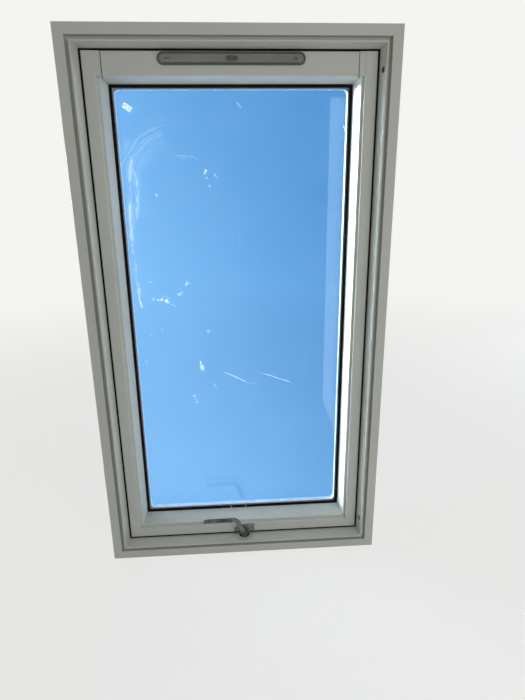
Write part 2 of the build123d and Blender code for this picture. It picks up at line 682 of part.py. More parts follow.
def make_handle():
    """Plate, bent lever, spindle with its latch cam, and the case round the cam."""
    axis = (0, HANDLE_Y)
    plate = Pos(*axis, 0) * extrude(
        RectangleRounded(PLATE_WIDTH, PLATE_HEIGHT, PLATE_CORNER), amount=PLATE_THICKNESS
    )
    plate -= rod((*axis, -CUT), (0, 0, 1), PLATE_THICKNESS + 2 * CUT, SPINDLE_RADIUS + SPINDLE_PLAY)
    rail = parts["sash_bottom_rail"]
    rail -= rod((*axis, CUT), (0, 0, -1), -SASH_STEEL_Z + 2 * CUT, SPINDLE_RADIUS + SPINDLE_ROOM)
    screws = []
    for x in (-PLATE_SCREW_X, PLATE_SCREW_X):
        head = (x, HANDLE_Y - PLATE_SCREW_DROP, PLATE_THICKNESS)
        hole = screw_hole(head, (0, 0, -1), PLATE_SCREW_LENGTH)
        plate -= hole
        rail -= hole
        screws.append(screw(head, (0, 0, -1), PLATE_SCREW_LENGTH))
    parts["handle_plate"] = plate
    parts["handle_screws"] = Compound(screws)
    parts["handle_lever"] = make_lever()

    wide, deep = SASH_STEEL_ROOM
    start = -SASH_Y + SASH_STEEL_START
    case_low = (-CASE_WIDTH / 2, start + STEEL_PLAY, SASH_STEEL_Z - deep + STEEL_PLAY)
    case_high = (CASE_WIDTH / 2, start + wide - STEEL_PLAY, SASH_STEEL_Z - STEEL_PLAY)
    middle = (case_low[2] + case_high[2]) / 2
    inside = slab([v + CASE_WALL for v in case_low], [v - CASE_WALL for v in case_high])
    cam_room = slab(
        (-CAM_SLOT / 2, -SASH_Y - CUT, middle - CAM_THICKNESS / 2 - CAM_ROOM),
        (CAM_SLOT / 2, case_low[1] + CASE_WALL, middle + CAM_THICKNESS / 2 + CAM_ROOM),
    )
    case = slab(case_low, case_high) - inside - cam_room
    bore_end = -case_high[2] + CASE_WALL + CUT
    case -= rod((*axis, 0), (0, 0, -1), bore_end, SPINDLE_RADIUS + SPINDLE_PLAY)
    parts["latch_case"] = case
    parts["sash_bottom_rail"] = rail - cam_room

    bottom = middle - CAM_THICKNESS / 2
    spindle = rod((*axis, bottom), (0, 0, 1), PLATE_THICKNESS + HUB_LIFT - bottom, SPINDLE_RADIUS)
    cam_reach = HANDLE_RISE - CAM_SETBACK
    disc = rod((*axis, bottom), (0, 0, 1), CAM_THICKNESS, cam_reach)
    tongue = slab(
        (-CAM_WIDTH / 2, HANDLE_Y - 2 * cam_reach, bottom),
        (CAM_WIDTH / 2, HANDLE_Y, bottom + CAM_THICKNESS),
    )
    hub = rod((*axis, bottom), (0, 0, 1), CAM_THICKNESS, SPINDLE_RADIUS + CAM_HUB_WALL)
    bore = rod((*axis, bottom - CUT), (0, 0, 1), CAM_THICKNESS + 2 * CUT, SPINDLE_RADIUS)
    parts["latch_cam"] = (disc & tongue) + hub - bore
    parts["handle_spindle"] = spindle


def make_lever():
    """A bent bar with a squared tip, whose neck widens down to the round hub."""
    hub = (0, HANDLE_Y)
    elbow = (ELBOW[0], HANDLE_Y + ELBOW[1])
    past_tip = (LEVER_END - TIP_ROUNDING, HANDLE_Y + LEVER_TIP_RISE)
    path = FilletPolyline(hub, elbow, past_tip, radius=ELBOW_RADIUS)
    bar = make_face(offset(path, amount=LEVER_WIDTH / 2, side=Side.BOTH))
    bar &= rectangle(LEVER_END, HUB_RADIUS, HANDLE_Y - HUB_RADIUS, HANDLE_Y + 2 * ELBOW[1])
    tip_corners = bar.vertices().sort_by(Axis.X)[:2]
    bar = fillet(tip_corners, TIP_ROUNDING)
    neck_end = (NECK_SHARE * ELBOW[0], HANDLE_Y + NECK_SHARE * ELBOW[1])
    hub_edges = (Pos(*hub) * Circle(HUB_RADIUS)).edges()
    neck = make_hull(hub_edges + (Pos(*neck_end) * Circle(LEVER_WIDTH / 2)).edges())
    lever = Pos(0, 0, LEVER_Z) * extrude(bar + neck, amount=LEVER_THICKNESS)
    base = PLATE_THICKNESS + HUB_LIFT
    return lever + rod((*hub, base), (0, 0, 1), HUB_TOP - base, HUB_RADIUS)


def flare_plane():
    """The sill's flared face: x across, y up the flare towards the room, z out of the face."""
    slope = math.hypot(FLARE, FRAME_ROOM)
    out = (0, FRAME_ROOM / slope, FLARE / slope)
    return Plane(origin=(0, -OPEN_Y, 0), x_dir=(-1, 0, 0), z_dir=out)


def half_disc(radius):
    """The half of a disc that lies up the flare from the keeper's straight edge."""
    return Circle(radius) & rectangle(-radius, radius, 0, radius)


def make_keeper():
    """A half-round plate let into the sill's flared face, with a dark pad in its half-ring recess."""
    place = flare_plane().location * Pos(0, KEEPER_START, -KEEPER_POCKET)
    keeper = place * extrude(half_disc(KEEPER_RADIUS), amount=KEEPER_THICKNESS)
    pocket = place * extrude(offset(half_disc(KEEPER_RADIUS), SEAT_PLAY), amount=KEEPER_THICKNESS + CUT)
    inner_radius = CATCH_RADIUS - CATCH_WIDTH
    floor = place * Pos(0, 0, KEEPER_THICKNESS - CATCH_DEPTH)
    keeper -= floor * extrude(half_disc(CATCH_RADIUS) - half_disc(inner_radius), amount=KEEPER_THICKNESS)
    pad = half_disc(CATCH_RADIUS - SEAT_PLAY) - half_disc(inner_radius + SEAT_PLAY)
    parts["keeper_pad"] = floor * extrude(pad, amount=CATCH_PAD)
    sill = parts["frame_sill"] - pocket
    screws = []
    inward = tuple(-v for v in flare_plane().z_dir)
    for x in (-KEEPER_SCREW_X, KEEPER_SCREW_X):
        point = tuple((place * Pos(x, KEEPER_SCREW_UP, KEEPER_THICKNESS)).position)
        hole = screw_hole(point, inward, KEEPER_SCREW_LENGTH)
        keeper -= hole
        sill -= hole
        screws.append(screw(point, inward, KEEPER_SCREW_LENGTH))
    parts["keeper"] = keeper
    parts["frame_sill"] = sill
    parts["keeper_screws"] = Compound(screws)


def make_bolt():
    """The cleaning bolt and its guide tube in the right stile."""
    tip = SASH_X - BOLT_SETBACK
    bolt = rod((tip, BOLT_Y, BOLT_Z), (-1, 0, 0), BOLT_LENGTH, BOLT_RADIUS)
    guide_radius = BOLT_RADIUS + BOLT_PLAY + GUIDE_WALL
    depth = BOLT_LENGTH + 2 * BOLT_SETBACK
    guide = rod((tip, BOLT_Y, BOLT_Z), (-1, 0, 0), depth, guide_radius)
    guide -= rod((tip + CUT, BOLT_Y, BOLT_Z), (-1, 0, 0), depth + 2 * CUT, BOLT_RADIUS + BOLT_PLAY)
    room_depth = CUT + BOLT_SETBACK + depth + BOLT_END_PLAY
    room = rod((SASH_X + CUT, BOLT_Y, BOLT_Z), (-1, 0, 0), room_depth, guide_radius + BOLT_PLAY)
    parts["sash_stile_right"] -= room
    parts["cleaning_bolt"] = bolt
    parts["bolt_guide"] = guide


def vent_slots(low, high):
    """The row of upright air slots that the duct's floor and the shutter share."""
    first = -(VENT_SLOTS - 1) * VENT_PITCH / 2
    height = DUCT_HEIGHT / 2 - DUCT_WALL - SLOT_MARGIN
    slots = None
    for index in range(VENT_SLOTS):
        x = first + index * VENT_PITCH
        slot = slab((x - VENT_SLOT / 2, VENT_Y - height, low), (x + VENT_SLOT / 2, VENT_Y + height, high))
        slots = slot if slots is None else slots + slot
    return slots


def make_vent():
    """Bezel, front panel, duct through the beam, filter, outer grille and the sliding shutter."""
    half_x, half_y = DUCT_LENGTH / 2, DUCT_HEIGHT / 2
    through = slab(
        (-half_x - DUCT_PLAY, VENT_Y - half_y - DUCT_PLAY, -2 * SASH_DEPTH),
        (half_x + DUCT_PLAY, VENT_Y + half_y + DUCT_PLAY, CUT),
    )
    parts["sash_top_rail"] -= through
    duct = slab((-half_x, VENT_Y - half_y, SASH_BACK), (half_x, VENT_Y + half_y, 0))
    wall_x, wall_y = half_x - DUCT_WALL, half_y - DUCT_WALL
    front = slab((-wall_x, VENT_Y - wall_y, DUCT_FLOOR_Z), (wall_x, VENT_Y + wall_y, CUT))
    behind = slab(
        (-wall_x, VENT_Y - wall_y, SASH_BACK - CUT), (wall_x, VENT_Y + wall_y, DUCT_FLOOR_Z - DUCT_WALL)
    )
    duct = duct - front - behind - vent_slots(DUCT_FLOOR_Z - 2 * DUCT_WALL, DUCT_FLOOR_Z + DUCT_WALL)

    bezel = capsule(VENT_LENGTH, VENT_HEIGHT, 0, BEZEL_PROUD, VENT_Y)
    hole_length, hole_height = VENT_LENGTH - 2 * BEZEL_RIM, VENT_HEIGHT - 2 * BEZEL_RIM
    bezel -= capsule(hole_length, hole_height, -CUT, BEZEL_PROUD + CUT, VENT_Y)
    parts["vent_bezel"] = bezel

    panel_back = PANEL_PROUD - PANEL_THICKNESS
    panel = capsule(
        hole_length - 2 * PANEL_GAP, hole_height - 2 * PANEL_GAP, panel_back, PANEL_PROUD, VENT_Y
    )
    stem_slot = slab(
        (-STEM_LENGTH / 2 - SHUTTER_PLAY, VENT_Y - STEM_WIDTH / 2 - SHUTTER_PLAY, panel_back - CUT),
        (
            STEM_LENGTH / 2 + SHUTTER_TRAVEL + SHUTTER_PLAY,
            VENT_Y + STEM_WIDTH / 2 + SHUTTER_PLAY,
            PANEL_PROUD + CUT,
        ),
    )
    parts["vent_panel"] = panel - stem_slot
    shutter_top = DUCT_FLOOR_Z + SHUTTER_PLAY + SHUTTER_THICKNESS
    post_x = wall_x - POST_WIDTH
    posts = None
    for low_x in (-wall_x, post_x):
        post = slab(
            (low_x, VENT_Y - wall_y, DUCT_FLOOR_Z), (low_x + POST_WIDTH, VENT_Y + wall_y, panel_back)
        )
        posts = post if posts is None else posts + post
    parts["vent_duct"] = duct + posts

    shutter_half = VENT_SLOTS * VENT_PITCH / 2
    shutter = slab(
        (-shutter_half - SHUTTER_TRAVEL, VENT_Y - wall_y + SHUTTER_PLAY, DUCT_FLOOR_Z + SHUTTER_PLAY),
        (shutter_half, VENT_Y + wall_y - SHUTTER_PLAY, shutter_top),
    )
    closed = Pos(-SHUTTER_TRAVEL, 0, 0) * vent_slots(DUCT_FLOOR_Z, shutter_top + CUT)
    grip_base = PANEL_PROUD + GRIP_LIFT
    stem = slab(
        (-STEM_LENGTH / 2, VENT_Y - STEM_WIDTH / 2, shutter_top - SHUTTER_THICKNESS / 2),
        (STEM_LENGTH / 2, VENT_Y + STEM_WIDTH / 2, grip_base + GRIP_PROUD / 2),
    )
    grip = Pos(0, VENT_Y, grip_base) * extrude(
        RectangleRounded(GRIP_LENGTH, GRIP_HEIGHT, GRIP_CORNER), amount=GRIP_PROUD
    )
    pitch = GRIP_LENGTH / GRIP_RIBS
    for index in range(GRIP_RIBS - 1):
        x = -GRIP_LENGTH / 2 + (index + 1) * pitch
        grip -= slab(
            (x - pitch / 4, VENT_Y - GRIP_HEIGHT, grip_base + GRIP_PROUD / 2),
            (x + pitch / 4, VENT_Y + GRIP_HEIGHT, grip_base + 2 * GRIP_PROUD),
        )
    parts["vent_shutter"] = shutter - closed + stem + grip

    filter_top = DUCT_FLOOR_Z - DUCT_WALL - FILTER_SETBACK
    parts["vent_filter"] = slab(
        (-wall_x + SHUTTER_PLAY, VENT_Y - wall_y + SHUTTER_PLAY, filter_top - FILTER_THICKNESS),
        (wall_x - SHUTTER_PLAY, VENT_Y + wall_y - SHUTTER_PLAY, filter_top),
    )
    grille = slab(
        (-wall_x, VENT_Y - wall_y, SASH_BACK), (wall_x, VENT_Y + wall_y, SASH_BACK + GRILLE_THICKNESS)
    )
    pitch = 2 * wall_x / GRILLE_BARS
    for index in range(GRILLE_BARS):
        x = -wall_x + (index + 0.5) * pitch
        grille -= slab(
            (x - pitch / 4, VENT_Y - wall_y + DUCT_WALL, SASH_BACK - CUT),
            (x + pitch / 4, VENT_Y + wall_y - DUCT_WALL, SASH_BACK + GRILLE_THICKNESS + CUT),
        )
    parts["vent_grille"] = grille


def make_brackets():
    """Four steel angles on the outsides of the jambs, each with a hole for a roof screw."""
    brackets, screws = [], []
    for sign in (-1, 1):
        for y in (-BRACKET_Y, BRACKET_Y):
            low_y, high_y = y - BRACKET_LENGTH / 2, y + BRACKET_LENGTH / 2

            def plate(near, far, low, high):
                a, b = sorted((sign * near, sign * far))
                return slab((a, low_y, low), (b, high_y, high))

            leg = plate(OUT_X, OUT_X + BRACKET_SHEET, BRACKET_Z, BRACKET_Z + BRACKET_LEG)
            flange = plate(OUT_X, OUT_X + BRACKET_REACH, BRACKET_Z, BRACKET_Z + BRACKET_SHEET)
            hole = rod(
                (sign * (OUT_X + BRACKET_HOLE_OUT), y, BRACKET_Z - CUT), (0, 0, 1),
                BRACKET_SHEET + 2 * CUT, BRACKET_HOLE_RADIUS,
            )
            bracket = leg + flange - hole
            jamb = "frame_jamb_right" if sign > 0 else "frame_jamb_left"
            for screw_y in (y - BRACKET_SCREW_PITCH / 2, y + BRACKET_SCREW_PITCH / 2):
                head = (
                    sign * (OUT_X + BRACKET_SHEET + HEAD_HEIGHT), screw_y,
                    BRACKET_Z + (BRACKET_LEG + BRACKET_SHEET) / 2,
                )
                inward = (-sign, 0, 0)
                length = BRACKET_SCREW_LENGTH
                shank = rod(head, inward, length + SCREW_PLAY, SCREW_RADIUS + SCREW_PLAY)
                bracket -= shank
                parts[jamb] -= shank
                screws.append(screw(head, inward, length))
            brackets.append(bracket)
    parts["fixing_brackets"] = Compound(brackets)
    parts["bracket_screws"] = Compound(screws)


def main():
    """Builds every piece, then writes one file per node."""
    make_frame()
    make_sash()
    make_glazing()
    make_frame_covers()
    make_sash_covers()
    make_hinges()
    make_handle()
    make_keeper()
    make_bolt()
    make_vent()
    make_brackets()
    os.makedirs("parts", exist_ok=True)
    for name, shape in parts.items():
        export_step(stand_up(shape), f"parts/{name}.step")
    turn = math.degrees(math.atan2(BOLT_HOLE_Z - PIVOT_Z, BOLT_HOLE_Y))
    rest = math.degrees(math.atan2(BOLT_Z - PIVOT_Z, BOLT_Y))
    print("sash turns to", round(turn - rest, 3), "ajar and", round(180 - turn - rest, 3), "for cleaning")
    print("pivot depth", round(ORIGIN_DEPTH - PIVOT_Z, 4), "origin depth", ORIGIN_DEPTH)


main()
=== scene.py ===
"""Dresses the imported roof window: finishes for the CAD nodes, and the fine pieces that go with them."""

import json
import logging
import math
from dataclasses import dataclass
from enum import Enum
from functools import reduce

import bmesh
import bpy
import numpy as np
from mathutils import Matrix, Vector


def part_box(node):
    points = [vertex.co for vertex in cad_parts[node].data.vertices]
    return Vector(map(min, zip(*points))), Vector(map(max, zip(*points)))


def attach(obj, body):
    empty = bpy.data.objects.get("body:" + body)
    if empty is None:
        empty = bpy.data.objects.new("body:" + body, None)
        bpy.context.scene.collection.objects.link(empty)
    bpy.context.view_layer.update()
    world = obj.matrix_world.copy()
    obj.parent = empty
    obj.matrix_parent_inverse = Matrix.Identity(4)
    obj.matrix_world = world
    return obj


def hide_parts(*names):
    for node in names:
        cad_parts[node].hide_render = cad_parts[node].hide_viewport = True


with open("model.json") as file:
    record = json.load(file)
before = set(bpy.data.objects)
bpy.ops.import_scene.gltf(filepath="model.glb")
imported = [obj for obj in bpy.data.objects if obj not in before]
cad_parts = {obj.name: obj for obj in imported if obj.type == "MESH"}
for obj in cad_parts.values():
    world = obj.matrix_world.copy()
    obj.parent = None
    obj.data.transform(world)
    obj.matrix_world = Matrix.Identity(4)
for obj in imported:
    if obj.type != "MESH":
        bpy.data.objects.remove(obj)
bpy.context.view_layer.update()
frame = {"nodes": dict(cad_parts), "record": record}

LOG = logging.getLogger("roof_window")
Colour = tuple[float, float, float, float]
Point = tuple[float, float, float]
Pair = tuple[float, float]
Rows = tuple[tuple[float, ...], ...]
Row = tuple[float, float, int]
Socket = bpy.types.NodeSocket
Node = bpy.types.Node
Material = bpy.types.Material
Piece = bpy.types.Object

MM = 0.001
MIDDLE_HEIGHT = 0.7
# The frame's reveal leans outwards by 6.75 mm over its depth of 33 mm.
FLARE_LEAN = math.atan2(6.75, 33.0)
# From the frame's outer side to the inner edge of its reveal.
FLARE_INSET = 43.5 * MM
# From the edge of the handle screws' box to the middle of a head.
PLATE_SCREW_INSET = 3.8 * MM
SHARP_ANGLE = 40.0


class Body(Enum):
    """The CAD bodies that a piece can ride on."""

    FRAME = "frame"
    SASH = "sash"
    HANDLE = "handle"


class Slot(Enum):
    """The record's material slots."""

    PROFILE = "profile_white"
    STEEL = "zinc_steel"
    SEAL = "seal_black"
    GLASS = "glass_clear"
    SPACER = "spacer_metal"
    BLOCK = "block_plastic"
    COVER = "cover_metal"
    HANDLE = "handle_metal"
    VENT = "vent_plastic"
    FOAM = "vent_foam"
    BUSH = "bush_plastic"
    KEEPER = "keeper_plastic"


def screen(red: int, green: int, blue: int) -> Colour:
    """Turns a screen colour into linear light: ((c + 0.055) / 1.055) to the power 2.4, straight near black.

    Args:
        red: Red from 0 to 255.
        green: Green from 0 to 255.
        blue: Blue from 0 to 255.

    Returns:
        The linear colour with alpha 1.
    """
    share = np.array([red, green, blue]) / 255
    linear = np.where(share < 0.04045, share / 12.92, ((share + 0.055) / 1.055) ** 2.4)
    return (*linear.tolist(), 1.0)


def metres(rows: Rows) -> np.ndarray:
    """Rows given in millimetres, as an array in metres."""
    return np.array(rows, float) * MM


# Shapes

@dataclass(frozen=True)
class Place:
    """A spot on the object with two directions on its surface, the third pointing out of it."""

    origin: Point
    across: Point
    up: Point

    @property
    def axes(self) -> np.ndarray:
        """The directions across, up and out of the surface, as rows."""
        return np.array([self.across, self.up, np.cross(self.across, self.up)])

    def put(self, local: np.ndarray) -> np.ndarray:
        """Sets local (..., 3) points in the row frame: origin + across * x + up * y + (across x up) * z."""
        return np.array(self.origin) + local @ self.axes


def room_side(x: float, y: float, z: float) -> Place:
    """A place at x, y and z, in metres, on a surface that faces the room."""
    return Place((x, y, z), (1, 0, 0), (0, 0, 1))


def weather_side(x: float, y: float, z: float) -> Place:
    """A place at x, y and z, in metres, on a surface that faces the weather."""
    return Place((x, y, z), (-1, 0, 0), (0, 0, 1))


def smooth_step(value: np.ndarray) -> np.ndarray:
    """Eases from 0 to 1: 3 t squared minus 2 t cubed, with t held between 0 and 1."""
    held = np.clip(value, 0, 1)
    return held * held * (3 - 2 * held)


def rounded_outline(width: float, height: float, radius: float, insets: np.ndarray, steps: int) -> np.ndarray:
    """Outlines of a rounded rectangle at several insets: corner centre + corner radius * (cos a, sin a).

    The width and height shrink by twice the inset and the radius by the inset, none below nothing, so an
    inset of half the smaller side ends in the outline's own middle line.

    Args:
        width: Full width at no inset.
        height: Full height at no inset.
        radius: Corner radius at no inset.
        insets: One inset for each level.
        steps: Points in each corner.

    Returns:
        Points as (levels, 4 * steps + 1, 2), the last point being the first again.
    """
    wide, high = (np.maximum(full - 2 * insets, 0)[:, None, None] / 2 for full in (width, height))
    round_off = np.minimum(np.maximum(radius - insets, 0)[:, None, None], np.minimum(wide, high))
    turn = np.arange(4)[None, :, None] * math.pi / 2
    angle = turn + np.linspace(0, math.pi / 2, steps)
    side_x, side_y = (np.sign(wave(turn + math.pi / 4)) for wave in (np.cos, np.sin))
    x = side_x * (wide - round_off) + round_off * np.cos(angle)
    y = side_y * (high - round_off) + round_off * np.sin(angle)
    loop = np.stack((x, y), axis=-1).reshape(len(insets), -1, 2)
    return np.concatenate((loop, loop[:, :1]), axis=1)


def tablet(width: float, height: float, radius: float, levels: np.ndarray, place: Place,
           steps: int = 8) -> np.ndarray:
    """A plate or ring built of rounded outlines, one for each (inset, rise) level.

    Args:
        width: Full width of the outline.
        height: Full height of the outline.
        radius: Its corner radius.
        levels: Rows of inset and rise above the place.
        place: Where its middle is.
        steps: Points in each corner.

    Returns:
        A grid of points, levels by points round the outline.
    """
    levels = np.asarray(levels, float)
    flat = rounded_outline(width, height, radius, levels[:, 0], steps)
    rise = np.broadcast_to(levels[:, 1, None, None], (*flat.shape[:2], 1))
    return place.put(np.concatenate((flat, rise), axis=-1))


def lathe(profile: np.ndarray, place: Place, steps: int = 40) -> np.ndarray:
    """A turned form: each (radius, rise) of the profile goes once round the place's own axis.

    Args:
        profile: Rows of radius and rise.
        place: Where the axis starts.
        steps: Points in one turn.

    Returns:
        A grid of points, profile by turn.
    """
    angle = np.linspace(0, 2 * math.pi, steps + 1)
    x, y = profile[:, :1] * np.cos(angle), profile[:, :1] * np.sin(angle)
    return place.put(np.stack((x, y, np.broadcast_to(profile[:, 1:], x.shape)), axis=-1))


def bar_profile(width: float, height: float, radius: float, steps: int = 5) -> np.ndarray:
    """The closed outline of a bar with rounded edges, from rounded_outline at no inset."""
    return rounded_outline(width, height, radius, np.zeros(1), steps)[0]


def sweep(profile: np.ndarray, path: np.ndarray, across: np.ndarray | Point, lift: np.ndarray | Point,
          spread: np.ndarray | Pair = (1.0, 1.0)) -> np.ndarray:
    """Carries a closed profile along a path: path + across * u * spread + lift * v * spread, ends closed.

    Args:
        profile: Rows of u and v.
        path: Points as (n, 3).
        across: The direction of u, one for the whole path or one for each point.
        lift: The direction of v, likewise.
        spread: The factors for u and for v, likewise.

    Returns:
        A grid of points, path by profile, with both ends drawn to a point.
    """
    across, lift = (np.broadcast_to(way, path.shape)[:, None] for way in (across, lift))
    factors = np.broadcast_to(spread, (len(path), 2))
    u, v = (profile[None, :, k, None] * factors[:, None, k, None] for k in (0, 1))
    first, last = (np.broadcast_to(path[k], (1, len(profile), 3)) for k in (0, -1))
    return np.concatenate((first, path[:, None] + across * u + lift * v, last))


def bent_path(start: np.ndarray, corner: np.ndarray, end: np.ndarray, radius: float,
              counts: tuple[int, int, int]) -> np.ndarray:
    """A straight run, an arc and a straight run in a plane.

    The arc touches both runs at radius * tan(turn / 2) from the corner, and its points are its centre plus
    the radius turned from the first run's side by equal angles.

    Args:
        start: First point, as (2,).
        corner: Where the two runs would meet.
        end: Last point.
        radius: The arc's radius.
        counts: Points on the first run, the arc and the last run.

    Returns:
        Points as (n, 2).
    """
    first = (corner - start) / np.linalg.norm(corner - start)
    second = (end - corner) / np.linalg.norm(end - corner)
    turn = math.atan2(first[0] * second[1] - first[1] * second[0], float(first @ second))
    touch = radius * math.tan(abs(turn) / 2)
    side = np.sign(turn) * np.array([-first[1], first[0]])
    meet, leave = corner - first * touch, corner + second * touch
    centre = meet + side * radius
    angle = np.linspace(0, turn, counts[1] + 2)[1:-1, None]
    arc = centre - radius * (side * np.cos(angle) - first * np.sign(turn) * np.sin(angle))
    run_in = start + (meet - start) * np.linspace(0, 1, counts[0])[:, None]
    run_out = leave + (end - leave) * np.linspace(0, 1, counts[2])[:, None]
    return np.concatenate((run_in, arc, run_out))


def cells(grid: np.ndarray, start: int) -> np.ndarray:
    """The four corner indices of every cell of a grid whose first point has the index start."""
    index = np.arange(grid.shape[0] * grid.shape[1]).reshape(grid.shape[:2]) + start
    return np.stack((index[:-1, :-1], index[1:, :-1], index[1:, 1:], index[:-1, 1:]), axis=-1).reshape(-1, 4)


def shade_smooth(mesh: bpy.types.Mesh) -> None:
    """Marks every face of a mesh as smooth."""
    mesh.polygons.foreach_set("use_smooth", np.ones(len(mesh.polygons), bool))


def grid_object(name: str, grids: list[np.ndarray], finish: Material) -> Piece:
    """Puts grids of points into one mesh object.

    Args:
        name: The object's name.
        grids: Its grids of points, in metres in the row frame.
        finish: Its material.

    Returns:
        The object.
    """
    starts = np.cumsum([0] + [grid.shape[0] * grid.shape[1] for grid in grids])
    points = np.concatenate([grid.reshape(-1, 3) for grid in grids])
    faces = np.concatenate([cells(grid, start) for grid, start in zip(grids, starts)])
    mesh = bpy.data.meshes.new(name)
    mesh.from_pydata(points.tolist(), [], faces.tolist())
    mesh.materials.append(finish)
    shade_smooth(mesh)
    made = bpy.data.objects.new(name, mesh)
    bpy.context.scene.collection.objects.link(made)
    return made


# Shader node groups

class Effect(Enum):
    """The effects that several finishes share, each a node group."""

    SOFT_EDGE = "window_soft_edge"
    MOTTLE = "window_mottle"
    GRAIN = "window_grain"
    SPECKS = "window_specks"
    STREAKS = "window_streaks"


class Graph:
    """A node tree that is being filled."""

    def __init__(self, tree: bpy.types.NodeTree) -> None:
        """Keeps the tree."""
        self.tree = tree

    def feed(self, node: Node, values: dict) -> None:
        """Fills a node's inputs.

        Args:
            node: The node.
            values: Inputs by name or index, each set to a value or linked from a socket.
        """
        for key, value in values.items():
            if isinstance(value, Socket):
                self.tree.links.new(value, node.inputs[key])
            else:
                node.inputs[key].default_value = value

    def node(self, kind: str, values: dict | None = None, **settings: object) -> Node:
        """Adds a node.

        Args:
            kind: The node's type without its ShaderNode start.
            values: Its inputs, as feed takes them.
            **settings: The node's own settings.

        Returns:
            The node.
        """
        made = self.tree.nodes.new("ShaderNode" + kind)
        for key, value in settings.items():
            setattr(made, key, value)
        self.feed(made, values or {})
        return made

    def use(self, effect: Effect, values: dict) -> Node:
        """Places an effect's node group with the given inputs."""
        return self.node("Group", values, node_tree=bpy.data.node_groups[effect.value])

    def math(self, operation: str, first: object, second: object = 0.0, clamp: bool = False) -> Socket:
        """The result of a Math node on two values or sockets, held between 0 and 1 if clamp is set."""
        return self.node("Math", {0: first, 1: second}, operation=operation, use_clamp=clamp).outputs[0]

    def product(self, *factors: object) -> Socket:
        """Values and sockets, multiplied from first to last."""
        return reduce(lambda done, factor: self.math("MULTIPLY", done, factor), factors)

    def apart(self, first: object, second: object) -> Socket:
        """The distance between two values or sockets."""
        return self.math("ABSOLUTE", self.math("SUBTRACT", first, second))

    def blend(self, share: object, first: object, second: object) -> Socket:
        """Mixes two colours, with a share of the second from 0 to 1."""
        return self.node("Mix", {0: share, 6: first, 7: second}, data_type="RGBA").outputs[2]

    def span(self, value: object, low: float, high: float, start: float = 0.0, end: float = 1.0) -> Socket:
        """Maps a value from low and high to start and end, smoothly and held at both ends."""
        values = {"Value": value, "From Min": low, "From Max": high, "To Min": start, "To Max": end}
        return self.node("MapRange", values, interpolation_type="SMOOTHSTEP").outputs[0]

    def place(self, stretch: Point | Socket = (1, 1, 1)) -> Socket:
        """Object coordinates, multiplied by one factor for each axis."""
        spot = self.node("TexCoord").outputs["Object"]
        return self.node("VectorMath", {0: spot, 1: stretch}, operation="MULTIPLY").outputs[0]

    def noise(self, scale: float | Socket, detail: float = 2.0, stretch: Point | Socket = (1, 1, 1),
              distortion: float = 0.0) -> Socket:
        """Noise on Object coordinates, multiplied by one factor for each axis."""
        values = {"Vector": self.place(stretch), "Scale": scale, "Detail": detail, "Distortion": distortion}
        return self.node("TexNoise", values).outputs[0]


def new_group(effect: Effect, inputs: dict[str, str], outputs: dict[str, str]) -> tuple[Graph, dict, Node]:
    """Starts a node group with its sockets.

    Args:
        effect: Which effect it is.
        inputs: Input names with their kinds.
        outputs: Output names with their kinds.

    Returns:
        Its graph, the given inputs by name, and its output node.
    """
    tree = bpy.data.node_groups.new(effect.value, "ShaderNodeTree")
    for way, sockets in (("INPUT", inputs), ("OUTPUT", outputs)):
        for name, kind in sockets.items():
            tree.interface.new_socket(name=name, in_out=way, socket_type="NodeSocket" + kind)
    given = tree.nodes.new("NodeGroupInput").outputs
    return Graph(tree), {name: given[name] for name in inputs}, tree.nodes.new("NodeGroupOutput")


def make_soft_edge(flat: float = 0.985, wear_and_highlight: float = 0.8) -> None:
    """Edges look rounded: the normal is averaged within a radius, and Edge is where it leaves the face's own.

    Args:
        flat: The cosine of the two normals' angle above which a spot is no edge.
        wear_and_highlight: The cosine below which it is an edge in full, where wear and painted edge
            highlight are strongest.
    """
    sockets = {"Normal": "Vector", "Edge": "Float"}
    graph, given, result = new_group(Effect.SOFT_EDGE, {"Radius": "Float"}, sockets)
    bevel = graph.node("Bevel", given, samples=4).outputs[0]
    own = graph.node("NewGeometry").outputs["Normal"]
    facing = graph.node("VectorMath", {0: bevel, 1: own}, operation="DOT_PRODUCT").outputs["Value"]
    graph.feed(result, {"Normal": bevel, "Edge": graph.span(facing, flat, wear_and_highlight)})


def make_mottle() -> None:
    """Two colours in soft clouds, and the clouds as a mask."""
    sockets = {"First": "Color", "Second": "Color", "Scale": "Float", "Amount": "Float"}
    graph, given, result = new_group(Effect.MOTTLE, sockets, {"Color": "Color", "Mask": "Float"})
    mask = graph.span(graph.noise(given["Scale"], 4.0), 0.35, 0.65)
    colour = graph.blend(graph.product(mask, given["Amount"]), given["First"], given["Second"])
    graph.feed(result, {"Color": colour, "Mask": mask})


def make_grain() -> None:
    """Fine relief from noise that can be drawn out along an axis."""
    sockets = {"Stretch": "Vector", "Scale": "Float", "Depth": "Float", "Normal": "Vector"}
    graph, given, result = new_group(Effect.GRAIN, sockets, {"Normal": "Vector"})
    height = graph.noise(given["Scale"], 3.0, given["Stretch"])
    relief = {"Strength": 1.0, "Distance": given["Depth"], "Height": height, "Normal": given["Normal"]}
    graph.feed(result, {"Normal": graph.node("Bump", relief).outputs[0]})


def make_specks(chance: float = 0.62) -> None:
    """Scattered specks: a cell whose random value is above the chance shows a small dot at its point.

    Args:
        chance: The value, from 0 to 1.
    """
    graph, given, result = new_group(Effect.SPECKS, {"Scale": "Float", "Size": "Float"}, {"Mask": "Float"})
    cell = graph.node("TexVoronoi", {"Vector": graph.place(), "Scale": given["Scale"]}).outputs
    near = graph.math("LESS_THAN", cell["Distance"], given["Size"])
    drawn = graph.node("SeparateColor", {0: cell["Color"]}).outputs[0]
    graph.feed(result, {"Mask": graph.product(near, graph.math("GREATER_THAN", drawn, chance))})


